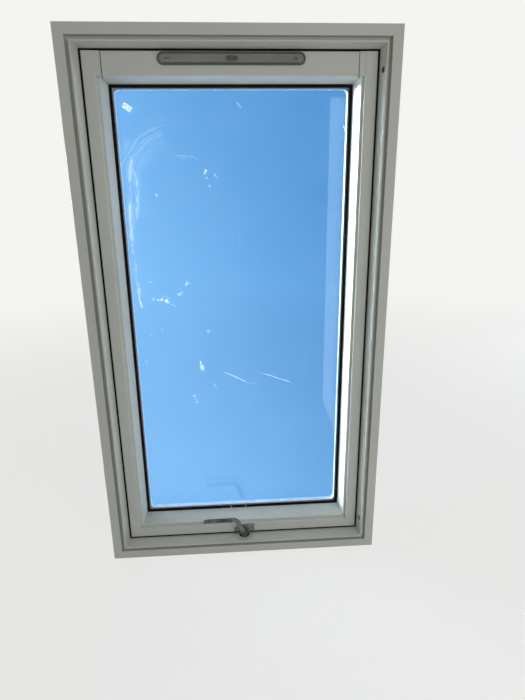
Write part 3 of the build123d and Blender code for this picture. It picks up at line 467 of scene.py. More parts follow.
def make_streaks() -> None:
    """Marks drawn down the window, as rain leaves them: noise drawn out along the height, cut by a second."""
    graph, given, result = new_group(Effect.STREAKS, {"Scale": "Float"}, {"Mask": "Float"})
    fine = graph.span(graph.noise(given["Scale"], 3.0, (1, 1, 0.05)), 0.5, 0.72)
    broad = graph.span(graph.noise(6.0), 0.4, 0.65)
    graph.feed(result, {"Mask": graph.product(fine, broad)})


# Finishes

def new_material(name: str) -> tuple[Material, Graph, Node]:
    """Starts a material with its Principled shader.

    Args:
        name: The material's name.

    Returns:
        The material, its graph and the shader.
    """
    material = bpy.data.materials.new(name)
    material.use_nodes = True
    return material, Graph(material.node_tree), material.node_tree.nodes["Principled BSDF"]


@dataclass(frozen=True)
class Finish:
    """A solid surface: mottled colour, lighter edges that are partly wear and partly a painted highlight,
    dust specks and a fine relief.
    """

    name: str
    colour: Colour
    shade: Colour
    roughness: float = 0.4
    roughness_swing: float = 0.08
    metallic: float = 0.0
    specular: float = 0.5
    mottle_scale: float = 14.0
    mottle_amount: float = 0.6
    grain_scale: float = 900.0
    grain_stretch: Point = (1, 1, 1)
    grain_depth: float = 0.00003
    edge_radius: float = 0.6 * MM
    # Lighter colour on the edges: partly wear, partly a painted highlight of edges catching the light.
    wear_and_highlight: Colour | None = None
    wear_and_highlight_amount: float = 0.4
    dust: Colour | None = None
    dust_scale: float = 160.0
    dust_size: float = 0.1
    streak: Colour | None = None
    streak_scale: float = 60.0
    streak_amount: float = 0.5

    def layers(self, graph: Graph, edge: Socket, colour: Socket) -> Socket:
        """Lays dust, streaks and lighter edges, partly wear and partly a painted highlight, over the
        surface's colour.

        Args:
            graph: The material's graph.
            edge: The mask of the edges.
            colour: The clouds of colour.

        Returns:
            The colour.
        """
        if self.dust:
            specks = graph.use(Effect.SPECKS, {"Scale": self.dust_scale, "Size": self.dust_size})
            colour = graph.blend(specks.outputs["Mask"], colour, self.dust)
        if self.streak:
            runs = graph.use(Effect.STREAKS, {"Scale": self.streak_scale})
            colour = graph.blend(graph.product(runs.outputs["Mask"], self.streak_amount), colour, self.streak)
        # Lightens the edges: partly wear, partly a painted highlight.
        if self.wear_and_highlight:
            colour = graph.blend(graph.product(edge, self.wear_and_highlight_amount), colour, self.wear_and_highlight)
        return colour

    def build(self) -> Material:
        """Makes the material.

        Returns:
            The material.
        """
        material, graph, shader = new_material(self.name)
        soft = graph.use(Effect.SOFT_EDGE, {"Radius": self.edge_radius}).outputs
        clouds = graph.use(Effect.MOTTLE, {"First": self.colour, "Second": self.shade,
                                           "Scale": self.mottle_scale, "Amount": self.mottle_amount}).outputs
        grain = graph.use(Effect.GRAIN, {"Stretch": self.grain_stretch, "Scale": self.grain_scale,
                                         "Depth": self.grain_depth, "Normal": soft["Normal"]})
        smoothest, roughest = (self.roughness + side * self.roughness_swing for side in (-1, 1))
        graph.feed(shader, {
            "Base Color": self.layers(graph, soft["Edge"], clouds["Color"]), "Metallic": self.metallic,
            "Roughness": graph.span(clouds["Mask"], 0.0, 1.0, smoothest, roughest),
            "Normal": grain.outputs["Normal"], "Specular IOR Level": self.specular})
        return material


@dataclass(frozen=True)
class TintAndSkyGlass:
    """A clear pane with a tint that changes along a line across it: a painted sky gradient, with a painted
    glow.
    """

    name: str
    light: Colour
    deep: Colour
    along: Point = (1.0, 0.0, 0.5)
    start: float = -0.25
    end: float = 0.95
    glow: float = 0.0
    glow_colour: Colour = (0.0, 0.22, 1.0, 1.0)

    def build(self) -> Material:
        """Makes the material: the tint runs from light to deep with the place along the line, a painted sky
        gradient, and it glows with painted sky light.

        Returns:
            The material.
        """
        material, graph, shader = new_material(self.name)
        spot = graph.node("TexCoord").outputs["Object"]
        line = graph.node("VectorMath", {0: spot, 1: self.along}, operation="DOT_PRODUCT").outputs["Value"]
        tint = graph.blend(graph.span(line, self.start, self.end), self.light, self.deep)
        graph.feed(shader, {"Base Color": tint, "Roughness": 0.0, "IOR": 1.45, "Transmission Weight": 1.0,
                            "Emission Color": self.glow_colour, "Emission Strength": self.glow})
        return material


@dataclass(frozen=True)
class DriedMark:
    """A dried drop or a scratch on the glass, whose catching of the sky's light is painted as a pale glow."""

    name: str
    colour: Colour
    thin_colour: Colour = (0.55, 0.72, 0.95, 1.0)
    alpha: float = 1.0
    thin_share: float = 0.3
    glow: float = 0.45
    roughness: float = 0.8
    tone_scale: float = 260.0
    tone_amount: float = 0.5
    crust_scale: float = 300.0
    crust: Pair = (0.38, 0.56)

    def build(self) -> Material:
        """Makes the material: a pale tone that varies in fine clouds towards sky blue, thin in places, and
        glows a little as a painted highlight.

        Returns:
            The material.
        """
        material, graph, shader = new_material(self.name)
        clouds = {"First": self.colour, "Second": self.thin_colour, "Scale": self.tone_scale,
                  "Amount": self.tone_amount}
        tone = graph.use(Effect.MOTTLE, clouds).outputs["Color"]
        crust = graph.noise(self.crust_scale, 3.0)
        cover = graph.span(crust, *self.crust, self.alpha * self.thin_share, self.alpha)
        graph.feed(shader, {"Base Color": tone, "Emission Color": tone, "Emission Strength": self.glow,
                            "Roughness": self.roughness, "Alpha": cover})
        return material


@dataclass(frozen=True)
class GlassFilm:
    """The thin film of dust and wiped streaks on the room side of the glass, with a painted reflection band
    at the right and a painted blue glow, all places in metres.
    """

    name: str
    colour: Colour
    # The glow is painted sky light on the film.
    glow_colour: Colour = (0.3, 0.62, 1.0, 1.0)
    glow: float = 0.55
    roughness: float = 0.7
    haze: float = 0.02
    outer_wipe: Point = (-0.275, 0.93, 0.42)
    outer_run: Pair = (0.73, 1.14)
    thick_run: Pair = (0.905, 1.035)
    inner_wipe: Point = (-0.25, 1.05, -2.0)
    inner_run: Pair = (0.95, 1.11)
    wipe_width: float = 0.0075
    wipe_fade: float = 0.03
    wipe_weight: float = 0.9
    arc_centre: Pair = (-0.15, 1.06)
    arc_radius: float = 0.13
    arc_reach: float = 0.08
    arc_wander: float = 0.035
    arc_lines: float = 170.0
    arc_right: Pair = (0.06, -0.05)
    arc_foot: Pair = (-0.12, 0.03)
    arc_weight: float = 0.3
    # The band values place a painted reflection: a paler band at the right.
    band_left: float = 0.2435
    band_top: float = 1.263
    band_slope: float = 2.467
    band_foot: float = 1.046
    band_soft: Point = (0.001, 0.005, 0.004)
    band_fade: Pair = (0.262, 0.29)
    band_rest: float = 0.35
    band_weight: float = 0.15

    def wipe(self, graph: Graph, spot: tuple[Socket, Socket], curve: Point, run: Pair) -> Socket:
        """A wiped stroke along a parabola x = x0 + k (z - z0)^2, between two heights.

        Args:
            graph: The material's graph.
            spot: The x and z sockets.
            curve: The values x0, z0 and k.
            run: The heights where it starts and ends.

        Returns:
            Its mask.
        """
        x, z = spot
        off = graph.math("SUBTRACT", z, curve[1])
        line = graph.math("ADD", graph.product(off, off, curve[2]), curve[0])
        near = graph.span(graph.apart(x, line), self.wipe_width, 0.0)
        low, high = run
        return graph.product(near, graph.span(z, low, low + self.wipe_fade),
                             graph.span(z, high, high - self.wipe_fade))

    def wipes(self, graph: Graph, spot: tuple[Socket, Socket]) -> Socket:
        """Both wiped strokes, broken up by noise drawn out along the height, and the outer one's thick part.

        Args:
            graph: The material's graph.
            spot: The x and z sockets.

        Returns:
            Their mask.
        """
        drawn = graph.noise(150.0, 4.0, (1.0, 1.0, 0.16), 0.6)
        outer = self.wipe(graph, spot, self.outer_wipe, self.outer_run)
        inner = self.wipe(graph, spot, self.inner_wipe, self.inner_run)
        thick = self.wipe(graph, spot, self.outer_wipe, self.thick_run)
        light = graph.product(graph.math("MAXIMUM", outer, inner), graph.span(drawn, 0.38, 0.58),
                              graph.span(graph.noise(26.0, 3.0), 0.3, 0.6), 0.7)
        return graph.math("MAXIMUM", light, graph.product(thick, graph.span(drawn, 0.12, 0.5)))

    def arcs(self, graph: Graph, spot: tuple[Socket, Socket]) -> Socket:
        """Faint rings that a cloth left: noise over a wandering distance from a centre, kept near one radius.

        Args:
            graph: The material's graph.
            spot: The x and z sockets.

        Returns:
            Their mask.
        """
        x, z = (graph.math("SUBTRACT", spot[k], self.arc_centre[k]) for k in (0, 1))
        radius = graph.math("SQRT", graph.math("ADD", graph.product(x, x), graph.product(z, z)))
        clouds = graph.noise(15.0)
        wander = graph.math("ADD", radius, graph.product(clouds, self.arc_wander))
        values = {"W": graph.product(wander, self.arc_lines), "Scale": 1.0, "Detail": 2.0}
        lines = graph.node("TexNoise", values, noise_dimensions="1D").outputs[0]
        near = graph.span(graph.apart(radius, self.arc_radius), self.arc_reach, 0.0)
        return graph.product(near, graph.span(x, *self.arc_right), graph.span(z, *self.arc_foot),
                             graph.span(lines, 0.3, 0.78), graph.span(clouds, 0.4, 0.6))

    def strip(self, graph: Graph, spot: tuple[Socket, Socket]) -> Socket:
        """The painted reflection, a paler band at the right: from its left edge to the glass's, cut off by a
        slanting foot.

        Args:
            graph: The material's graph.
            spot: The x and z sockets.

        Returns:
            Its mask.
        """
        x, z = spot
        foot = graph.math("ADD", z, graph.product(x, self.band_slope))
        left, top, low = self.band_soft
        return graph.product(graph.span(x, self.band_left - left, self.band_left + left),
                             graph.span(foot, self.band_foot - low, self.band_foot + low),
                             graph.span(z, self.band_top + top, self.band_top - top),
                             graph.span(x, *self.band_fade, 1.0, self.band_rest))

    def build(self) -> Material:
        """Makes the material: its alpha is the sum of the haze, the wiped strokes, the arcs and the band, a
        painted reflection; its glow is painted sky light.

        Returns:
            The material.
        """
        material, graph, shader = new_material(self.name)
        x, _, z = graph.node("SeparateXYZ", {0: graph.place()}).outputs
        alpha = graph.span(graph.noise(7.0), 0.3, 0.7, self.haze * 0.5, self.haze * 1.5)
        for mask, weight in ((self.wipes, self.wipe_weight), (self.arcs, self.arc_weight),
                             (self.strip, self.band_weight)):
            alpha = graph.math("ADD", alpha, graph.product(mask(graph, (x, z)), weight), clamp=True)
        graph.feed(shader, {"Alpha": alpha, "Base Color": self.colour, "Roughness": self.roughness,
                            "Emission Color": self.glow_colour, "Emission Strength": self.glow})
        return material


AnyFinish = Finish | TintAndSkyGlass | DriedMark | GlassFilm

# White profile, its colour set a little grey: partly its own white, partly painted shade of the faces.
WHITE_PROFILE = Finish(
    "white_profile", screen(199, 201, 194), screen(195, 197, 190), roughness=0.42, roughness_swing=0.03,
    wear_and_highlight=screen(210, 212, 206), wear_and_highlight_amount=0.5, dust=screen(180, 179, 171), dust_size=0.045,
    dust_scale=110.0, mottle_scale=5.0, grain_scale=420.0, grain_stretch=(1, 1, 0.3), grain_depth=0.00001,
    edge_radius=0.9 * MM)
# Lever metal: its strong light and dark clouds are a painted reflection, and its lighter edges partly a
# painted highlight.
HANDLE_METAL = Finish(
    "handle_metal", screen(112, 114, 112), screen(58, 60, 60), metallic=0.8, roughness=0.26,
    mottle_scale=26.0, mottle_amount=1.0, grain_scale=2200.0, grain_stretch=(0.08, 1, 1),
    wear_and_highlight=screen(176, 178, 176), grain_depth=0.00001, edge_radius=0.8 * MM)
# Plate metal: its light and dark clouds are a painted reflection, and its lighter edges a painted highlight.
PLATE_METAL = Finish(
    "handle_plate_metal", screen(138, 140, 137), screen(108, 109, 106), metallic=0.5, roughness=0.36,
    mottle_scale=90.0, mottle_amount=0.8, grain_scale=1600.0, wear_and_highlight=screen(184, 185, 182), wear_and_highlight_amount=0.7,
    grain_depth=0.00001)
VENT_PANEL = Finish(
    "vent_panel_grey", screen(130, 132, 126), screen(120, 122, 116), roughness=0.46, grain_scale=1800.0,
    wear_and_highlight=screen(150, 152, 146), edge_radius=0.4 * MM)
# Dark grey: on the rim round the vent panel it is painted shade of the gap round the panel; on the signs it
# is their print.
VENT_RIM = Finish(
    "vent_rim_grey", screen(86, 88, 83), screen(78, 80, 75), roughness=0.42, grain_scale=1800.0,
    wear_and_highlight=screen(112, 114, 108), edge_radius=0.4 * MM)
SEAL_RUBBER = Finish(
    "seal_rubber", screen(8, 9, 10), screen(14, 15, 16), roughness=0.7, specular=0.12, grain_scale=1500.0)
SPACER_METAL = Finish(
    "spacer_metal", screen(238, 241, 245), screen(226, 230, 235), metallic=0.1, roughness=0.35,
    grain_stretch=(1, 1, 0.1))
ZINC_STEEL = Finish(
    "zinc_steel", screen(168, 172, 176), screen(140, 146, 152), metallic=0.85, roughness=0.38,
    mottle_scale=55.0, mottle_amount=0.8, grain_scale=700.0, wear_and_highlight=screen(205, 208, 212))
BLOCK_PLASTIC = Finish("setting_block", screen(88, 120, 158), screen(78, 108, 146), roughness=0.5)
COVER_METAL = Finish(
    "cover_sheet", screen(104, 107, 110), screen(94, 97, 101), metallic=0.1, roughness=0.48,
    mottle_scale=5.0, grain_scale=1100.0, wear_and_highlight=screen(140, 143, 146), dust=screen(126, 126, 120),
    dust_size=0.07, streak=screen(124, 125, 122), edge_radius=0.8 * MM)
BUSH_PLASTIC = Finish("bush_plastic", screen(222, 220, 210), screen(208, 206, 196), roughness=0.4)
# Keeper, as grey as the profile: partly its own white, partly painted shade.
KEEPER_PLASTIC = Finish(
    "keeper_plastic", screen(196, 198, 190), screen(184, 186, 178), roughness=0.38,
    wear_and_highlight=screen(214, 215, 210), dust=screen(150, 148, 140))
FILTER_FOAM = Finish(
    "filter_foam", screen(66, 67, 69), screen(40, 41, 43), roughness=0.9, roughness_swing=0.04,
    mottle_scale=420.0, mottle_amount=1.0, grain_scale=380.0, grain_depth=0.0012, specular=0.2)
# Near-black rings round the handle screws: painted shade of the screw recesses.
SCREW_WELL_SHADE = Finish("screw_well", screen(40, 40, 38), screen(56, 56, 53), roughness=0.5)
# Near-black liners in the bolt holes: painted shade of the holes.
HOLE_SHADE_LINER = Finish("hole_liner", screen(46, 47, 45), screen(38, 39, 37), roughness=0.5)
CAP_GREY = Finish("cap_grey", screen(150, 151, 146), screen(138, 139, 134), roughness=0.45)
# Outer pane: blue tint, lighter at the lower left and deeper at the upper right as a painted sky gradient,
# with a faint painted blue glow.
OUTER_GLASS = TintAndSkyGlass("outer_glass", screen(130, 202, 252), screen(20, 135, 190), glow=0.1)
INNER_GLASS = TintAndSkyGlass("inner_glass", screen(250, 253, 255), screen(246, 251, 255))
# Dust and wiped streaks on the glass, with a painted reflection band and a painted glow.
DUST_AND_REFLECTION_FILM = GlassFilm("dust_and_reflection_film", screen(224, 238, 255))
# Dried marks on the glass; their glow is a painted highlight of the sky's light.
BRIGHT_MARK = DriedMark("bright_mark", screen(226, 244, 255))
FAINT_MARK = DriedMark("faint_mark", screen(218, 240, 255), alpha=0.34, glow=0.3)


class FinishBook:
    """Builds each finish once and gives every CAD node its own."""

    slots = {
        Slot.PROFILE: WHITE_PROFILE, Slot.STEEL: ZINC_STEEL, Slot.SEAL: SEAL_RUBBER,
        Slot.GLASS: INNER_GLASS, Slot.SPACER: SPACER_METAL, Slot.BLOCK: BLOCK_PLASTIC,
        Slot.COVER: COVER_METAL, Slot.HANDLE: HANDLE_METAL, Slot.VENT: VENT_PANEL,
        Slot.FOAM: FILTER_FOAM, Slot.BUSH: BUSH_PLASTIC, Slot.KEEPER: KEEPER_PLASTIC,
    }
    own = {"glass_outer": OUTER_GLASS, "vent_shutter": VENT_RIM}

    def __init__(self) -> None:
        """Makes the shared node groups."""
        for make in (make_soft_edge, make_mottle, make_grain, make_specks, make_streaks):
            make()
        self.made: dict[str, Material] = {}

    def get(self, finish: AnyFinish) -> Material:
        """Gives the material of a finish, made when it is first asked for.

        Args:
            finish: The finish.

        Returns:
            Its material.
        """
        if finish.name not in self.made:
            self.made[finish.name] = finish.build()
        return self.made[finish.name]

    def dress_nodes(self) -> None:
        """Gives each CAD node the finish of its slot, or its own."""
        for part in frame["record"]["subparts"]:
            node = frame["nodes"][part["node"]]
            finish = self.own.get(part["node"], self.slots[Slot(part["material_slot"])])
            node.data.materials.clear()
            node.data.materials.append(self.get(finish))
            node.visible_shadow = not part["node"].startswith("glass_")
            LOG.info("%s wears %s", part["node"], finish.name)


# The window's own pieces

def middle(node: str) -> np.ndarray:
    """The middle of a CAD node's box."""
    return np.mean([tuple(corner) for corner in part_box(node)], axis=0)


def span_of(node: str) -> np.ndarray:
    """The size of a CAD node's box."""
    return np.ptp([tuple(corner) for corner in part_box(node)], axis=0)


def seat(node: str) -> tuple[np.ndarray, Place]:
    """A CAD node's size, and the place in the middle of its weather side that looks to the room."""
    size, spot = span_of(node), middle(node)
    return size, room_side(spot[0], spot[1] + size[1] / 2, spot[2])


def plate_screws(depth: float) -> list[Place]:
    """The middles of the handle plate's two screws, at a depth in metres."""
    low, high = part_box("handle_screws")
    return [room_side(s * (high[0] - PLATE_SCREW_INSET), depth, (low[2] + high[2]) / 2) for s in (-1, 1)]


def flare(x: float, up: float, rise: float) -> Place:
    """A place on the sill's flared face.

    Args:
        x: Across, in metres.
        up: How far along the face towards the room, in metres.
        rise: How far out of the face, in metres.

    Returns:
        The place.
    """
    out = np.array([0.0, -math.sin(FLARE_LEAN), math.cos(FLARE_LEAN)])
    along = np.array([0.0, -math.cos(FLARE_LEAN), -math.sin(FLARE_LEAN)])
    edge = np.array([x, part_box("sash_bottom_rail")[0][1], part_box("frame_sill")[0][2] + FLARE_INSET])
    return Place(tuple(edge + along * up + out * rise), (-1.0, 0.0, 0.0), tuple(along))


@dataclass
class SubAssembly:
    """A part of the window that builds its own pieces."""

    book: FinishBook

    def piece(self, name: str, grids: list[np.ndarray], finish: AnyFinish, body: Body, slot: Slot,
              crease: float = SHARP_ANGLE) -> Piece:
        """Makes one piece of grids of points, closes its seams and poles, and lets it ride on a body.

        Args:
            name: The piece's name.
            grids: Its grids of points, in metres in the row frame.
            finish: Its finish.
            body: The CAD body that it rides on.
            slot: The record's slot that its finish belongs to; not used.
            crease: The angle above which an edge stays sharp, in degrees.

        Returns:
            The piece.
        """
        piece = grid_object(name, grids, self.book.get(finish))
        mesh = piece.data
        work = bmesh.new()
        work.from_mesh(mesh)
        bmesh.ops.remove_doubles(work, verts=work.verts, dist=1e-6)
        bmesh.ops.dissolve_degenerate(work, edges=work.edges, dist=1e-7)
        bmesh.ops.recalc_face_normals(work, faces=work.faces)
        work.to_mesh(mesh)
        work.free()
        shade_smooth(mesh)
        mesh.set_sharp_from_angle(angle=math.radians(crease))
        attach(piece, body.value)
        LOG.info("%s on %s: %d faces", name, body.value, len(mesh.polygons))
        return piece

    def build(self) -> None:
        """Builds all the pieces of the sub-assembly."""
        raise NotImplementedError(type(self).__name__)


@dataclass
class Seals(SubAssembly):
    """The rubber in the gap, its lip partly painted shade of the gap, at the glass and under the covers,
    black strips of painted shade in the top rail's seams, and two clips.

    The bulb's root, neck and step are shares of its width, depth and root, and the glazing lips' shoulder and
    edge are shares of their width and depth. The cover lip's shape is in shares of its width and rise.
    """

    bulb_clearance: float = 1.25 * MM
    spacer_width: float = 7.0 * MM
    sight_margin: float = 3.0 * MM
    bulb_shares: Point = (0.5, 0.14, 0.8)
    lip_shares: Pair = (0.42, 0.12)
    cover_lip: Pair = (2.4 * MM, 1.4 * MM)
    cover_lip_drop: float = 0.2 * MM
    cover_lip_shape: Rows = ((0, 0), (0, 1), (0.6, 1), (1, 0.3), (1, 0), (0, 0))
    # The lip is a seal lip widened to nearly fill the gap, so that its black also stands as painted shade of
    # the gap.
    gap_lip: Rows = ((4.0, 7.0), (4.0, 11.4), (4.6, 12.2), (6.6, 12.6), (7.3, 12.1), (7.2, 11.5), (6.4, 11.0),
                     (6.0, 7.0), (4.0, 7.0))
    strip_overlap: float = 0.5 * MM
    strip_ends: float = 3.0 * MM
    strip_depth: float = 0.25 * MM
    strip_thickness: float = 0.4 * MM
    clip: Rows = ((1.1, -0.3), (0, -0.3), (0, 0.3), (0.4, 0.6), (1.1, 0.6))
    clip_size: Point = (2.2 * MM, 6.0 * MM, 1.0 * MM)
    clip_up: float = 8.0 * MM
    clip_spots: Pair = (-0.038, 0.0065)

    def ring(self, name: str, node: str, levels: np.ndarray, crease: float = 50.0) -> Piece:
        """Builds a ring with the given closed profile on the outline of a CAD ring.

        Args:
            name: The piece's name.
            node: The CAD ring.
            levels: Rows of inset and rise above the CAD ring's weather side, the last being the first again.
            crease: The angle above which an edge stays sharp, in degrees.

        Returns:
            The ring.
        """
        size, place = seat(node)
        grid = tablet(size[0], size[2], 0.0, levels, place, steps=5)
        body = Body.FRAME if "frame" in node else Body.SASH
        return self.piece(name, [grid], SEAL_RUBBER, body, Slot.SEAL, crease)

    def bulb_profile(self, width: float, depth: float) -> np.ndarray:
        """A root with a half-round bulb: inset = root + bulb * sin a, rise = depth / 2 * (1 - cos a).

        Args:
            width: The whole width of the seal.
            depth: Its depth.

        Returns:
            Rows of inset and rise.
        """
        root, neck = width * self.bulb_shares[0], depth * self.bulb_shares[1]
        angle = np.linspace(0, math.pi, 13)
        bulb = np.stack((root + (width - root) * np.sin(angle), depth / 2 * (1 - np.cos(angle))), axis=1)
        foot, step = [0, neck], root * self.bulb_shares[2]
        return np.concatenate(([foot, [step, neck]], bulb, [[step, depth - neck], [0, depth - neck], foot]))

    def lip_profile(self, width: float, depth: float, inwards: bool) -> np.ndarray:
        """A flat shoulder, then a lip that falls as a quarter of an ellipse to a thin edge on the glass.

        Args:
            width: The whole width.
            depth: The whole depth.
            inwards: Whether the glass lies on the weather side of the gasket.

        Returns:
            Rows of inset and rise.
        """
        shoulder, edge = width * self.lip_shares[0], depth * self.lip_shares[1]
        share = np.linspace(0, 1, 12)
        fall = edge + (depth - edge) * np.sqrt(1 - share ** 2)
        top = np.stack((shoulder + (width - shoulder) * share, fall), axis=1)
        loop = np.concatenate(([[0, 0], [0, depth]], top, [[width, 0], [0, 0]]))
        if not inwards:
            loop[:, 1] = depth - loop[:, 1]
        return loop

    def cover_ring(self) -> None:
        """A thin ring between the outside covers' inner edges and the glass."""
        glass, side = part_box("glass_outer")[1][1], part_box("sash_cover_left")[1]
        wide, overlap = self.cover_lip
        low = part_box("sash_cover_bottom")[1][2] - overlap
        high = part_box("sash_cover_top")[0][2] + overlap
        rise = side[1] - glass - self.cover_lip_drop
        levels = np.array(self.cover_lip_shape) * (wide, rise)
        place = weather_side(0.0, glass, (low + high) / 2)
        grid = tablet(2 * (overlap - side[0]), high - low, 0.0, levels, place, steps=3)
        self.piece("cover_lip", [grid], SEAL_RUBBER, Body.SASH, Slot.SEAL)

    def seam_shade_strips(self) -> None:
        """A black strip of painted shade in each seam between the top rail and a stile, just under the face.
        """
        low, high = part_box("sash_top_rail")
        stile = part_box("sash_stile_right")[0][0]
        width, height = stile - high[0] + self.strip_overlap, high[2] - low[2] - self.strip_ends
        levels = [[width / 2, -self.strip_thickness], [0, -self.strip_thickness], [0, 0], [width / 2, 0]]
        x, y, z = (high[0] + stile) / 2, low[1] + self.strip_depth, (low[2] + high[2]) / 2
        grids = [tablet(width, height, 0.0, levels, room_side(s * x, y, z), steps=2) for s in (-1, 1)]
        self.piece("seam_shade_strips", grids, SEAL_RUBBER, Body.SASH, Slot.SEAL)

    def drain_clips(self) -> None:
        """Two small pale clips on the bottom of the room side's glazing gasket."""
        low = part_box("glazing_gasket_inner")[0]
        spots = [room_side(x, low[1], low[2] + self.clip_up) for x in self.clip_spots]
        grids = [tablet(*self.clip_size, metres(self.clip), spot, steps=4) for spot in spots]
        self.piece("drain_clips", grids, SPACER_METAL, Body.SASH, Slot.SPACER)

    def build(self) -> None:
        """Builds all the seals."""
        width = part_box("frame_seal")[1][0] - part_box("sash_stile_right")[1][0] - self.bulb_clearance
        bulb = self.ring("gap_bulb", "frame_seal", self.bulb_profile(width, span_of("frame_seal")[1]))
        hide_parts("frame_seal")
        # The lip's black across the gap is partly painted shade.
        self.ring("gap_lip", "frame_seal", metres(self.gap_lip), SHARP_ANGLE)
        self.seam_shade_strips()
        self.drain_clips()
        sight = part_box("glazing_gasket_inner")[1][0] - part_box("spacer_bar")[1][0]
        sight += self.spacer_width - self.sight_margin
        for name, node, inwards in (("glazing_lip_room", "glazing_gasket_inner", True),
                                    ("glazing_lip_weather", "glazing_gasket_outer", False)):
            lip = self.ring(name, node, self.lip_profile(sight, span_of(node)[1], inwards))
            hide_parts(node)
        self.cover_ring()


@dataclass
class WeldBeads(SubAssembly):
    """The fine beads where the profiles are welded at 45 degrees."""

    width: float = 1.1 * MM
    height: float = 0.16 * MM
    steps: int = 12
    frame_line: Rows = ((36.75, 32.4), (43.3, 0.9), (43.5, 0), (43.5, -5.8))
    sash_line: Rows = ((0.9, 0), (28.6, 0), (29, -0.4), (29, -9.5), (35.6, -10), (36.1, -11), (43.7, -61.6))

    def bead(self, outline: np.ndarray, corner: Point, side: Pair) -> np.ndarray:
        """A flat half-round bead along one corner's diagonal.

        The path's points are the corner moved diagonally by the profile's inset, at the profile's depth. The
        bead's lift is the mean of the two members' normals, and its width lies across both.

        Args:
            outline: Rows of inset and rise of the profile, from its outer edge inwards.
            corner: Half the width over the outer edges, the depth at no rise, and the outer edge's height.
            side: Signs of the corner's x and z.

        Returns:
            A grid of points.
        """
        steps = np.linspace(0, len(outline) - 1, self.steps * (len(outline) - 1) + 1)
        inset, rise = (np.interp(steps, np.arange(len(outline)), outline[:, k]) for k in (0, 1))
        x, z = side[0] * (corner[0] - inset), corner[2] - side[1] * inset
        path = np.stack((x, corner[1] - rise, z), axis=1)
        slope_in, slope_up = np.gradient(inset), np.gradient(rise)
        lift = np.stack((side[0] * slope_up, -slope_in, side[1] * slope_up), axis=1)
        lift /= np.linalg.norm(lift, axis=1, keepdims=True)
        across = np.cross(lift, np.gradient(path, axis=0))
        across /= np.linalg.norm(across, axis=1, keepdims=True)
        angle = np.linspace(0, 2 * math.pi, 9)
        section = np.stack((self.width / 2 * np.cos(angle), self.height * np.sin(angle)), axis=1)
        return sweep(section, path, across, lift)

    def build(self) -> None:
        """Builds the beads of the frame's four corners and the sash's two lower ones."""
        sill, head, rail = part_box("frame_sill"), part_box("frame_head"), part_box("sash_bottom_rail")
        face = rail[0][1]
        line = metres(self.frame_line)
        beads = [self.bead(line, (sill[1][0], face, z), (x, s))
                 for x in (-1, 1) for z, s in ((sill[0][2], -1), (head[1][2], 1))]
        self.piece("frame_weld_beads", beads, WHITE_PROFILE, Body.FRAME, Slot.PROFILE)
        line = metres(self.sash_line)
        beads = [self.bead(line, (rail[1][0], face, rail[0][2]), (x, -1)) for x in (-1, 1)]
        self.piece("sash_weld_beads", beads, WHITE_PROFILE, Body.SASH, Slot.PROFILE)


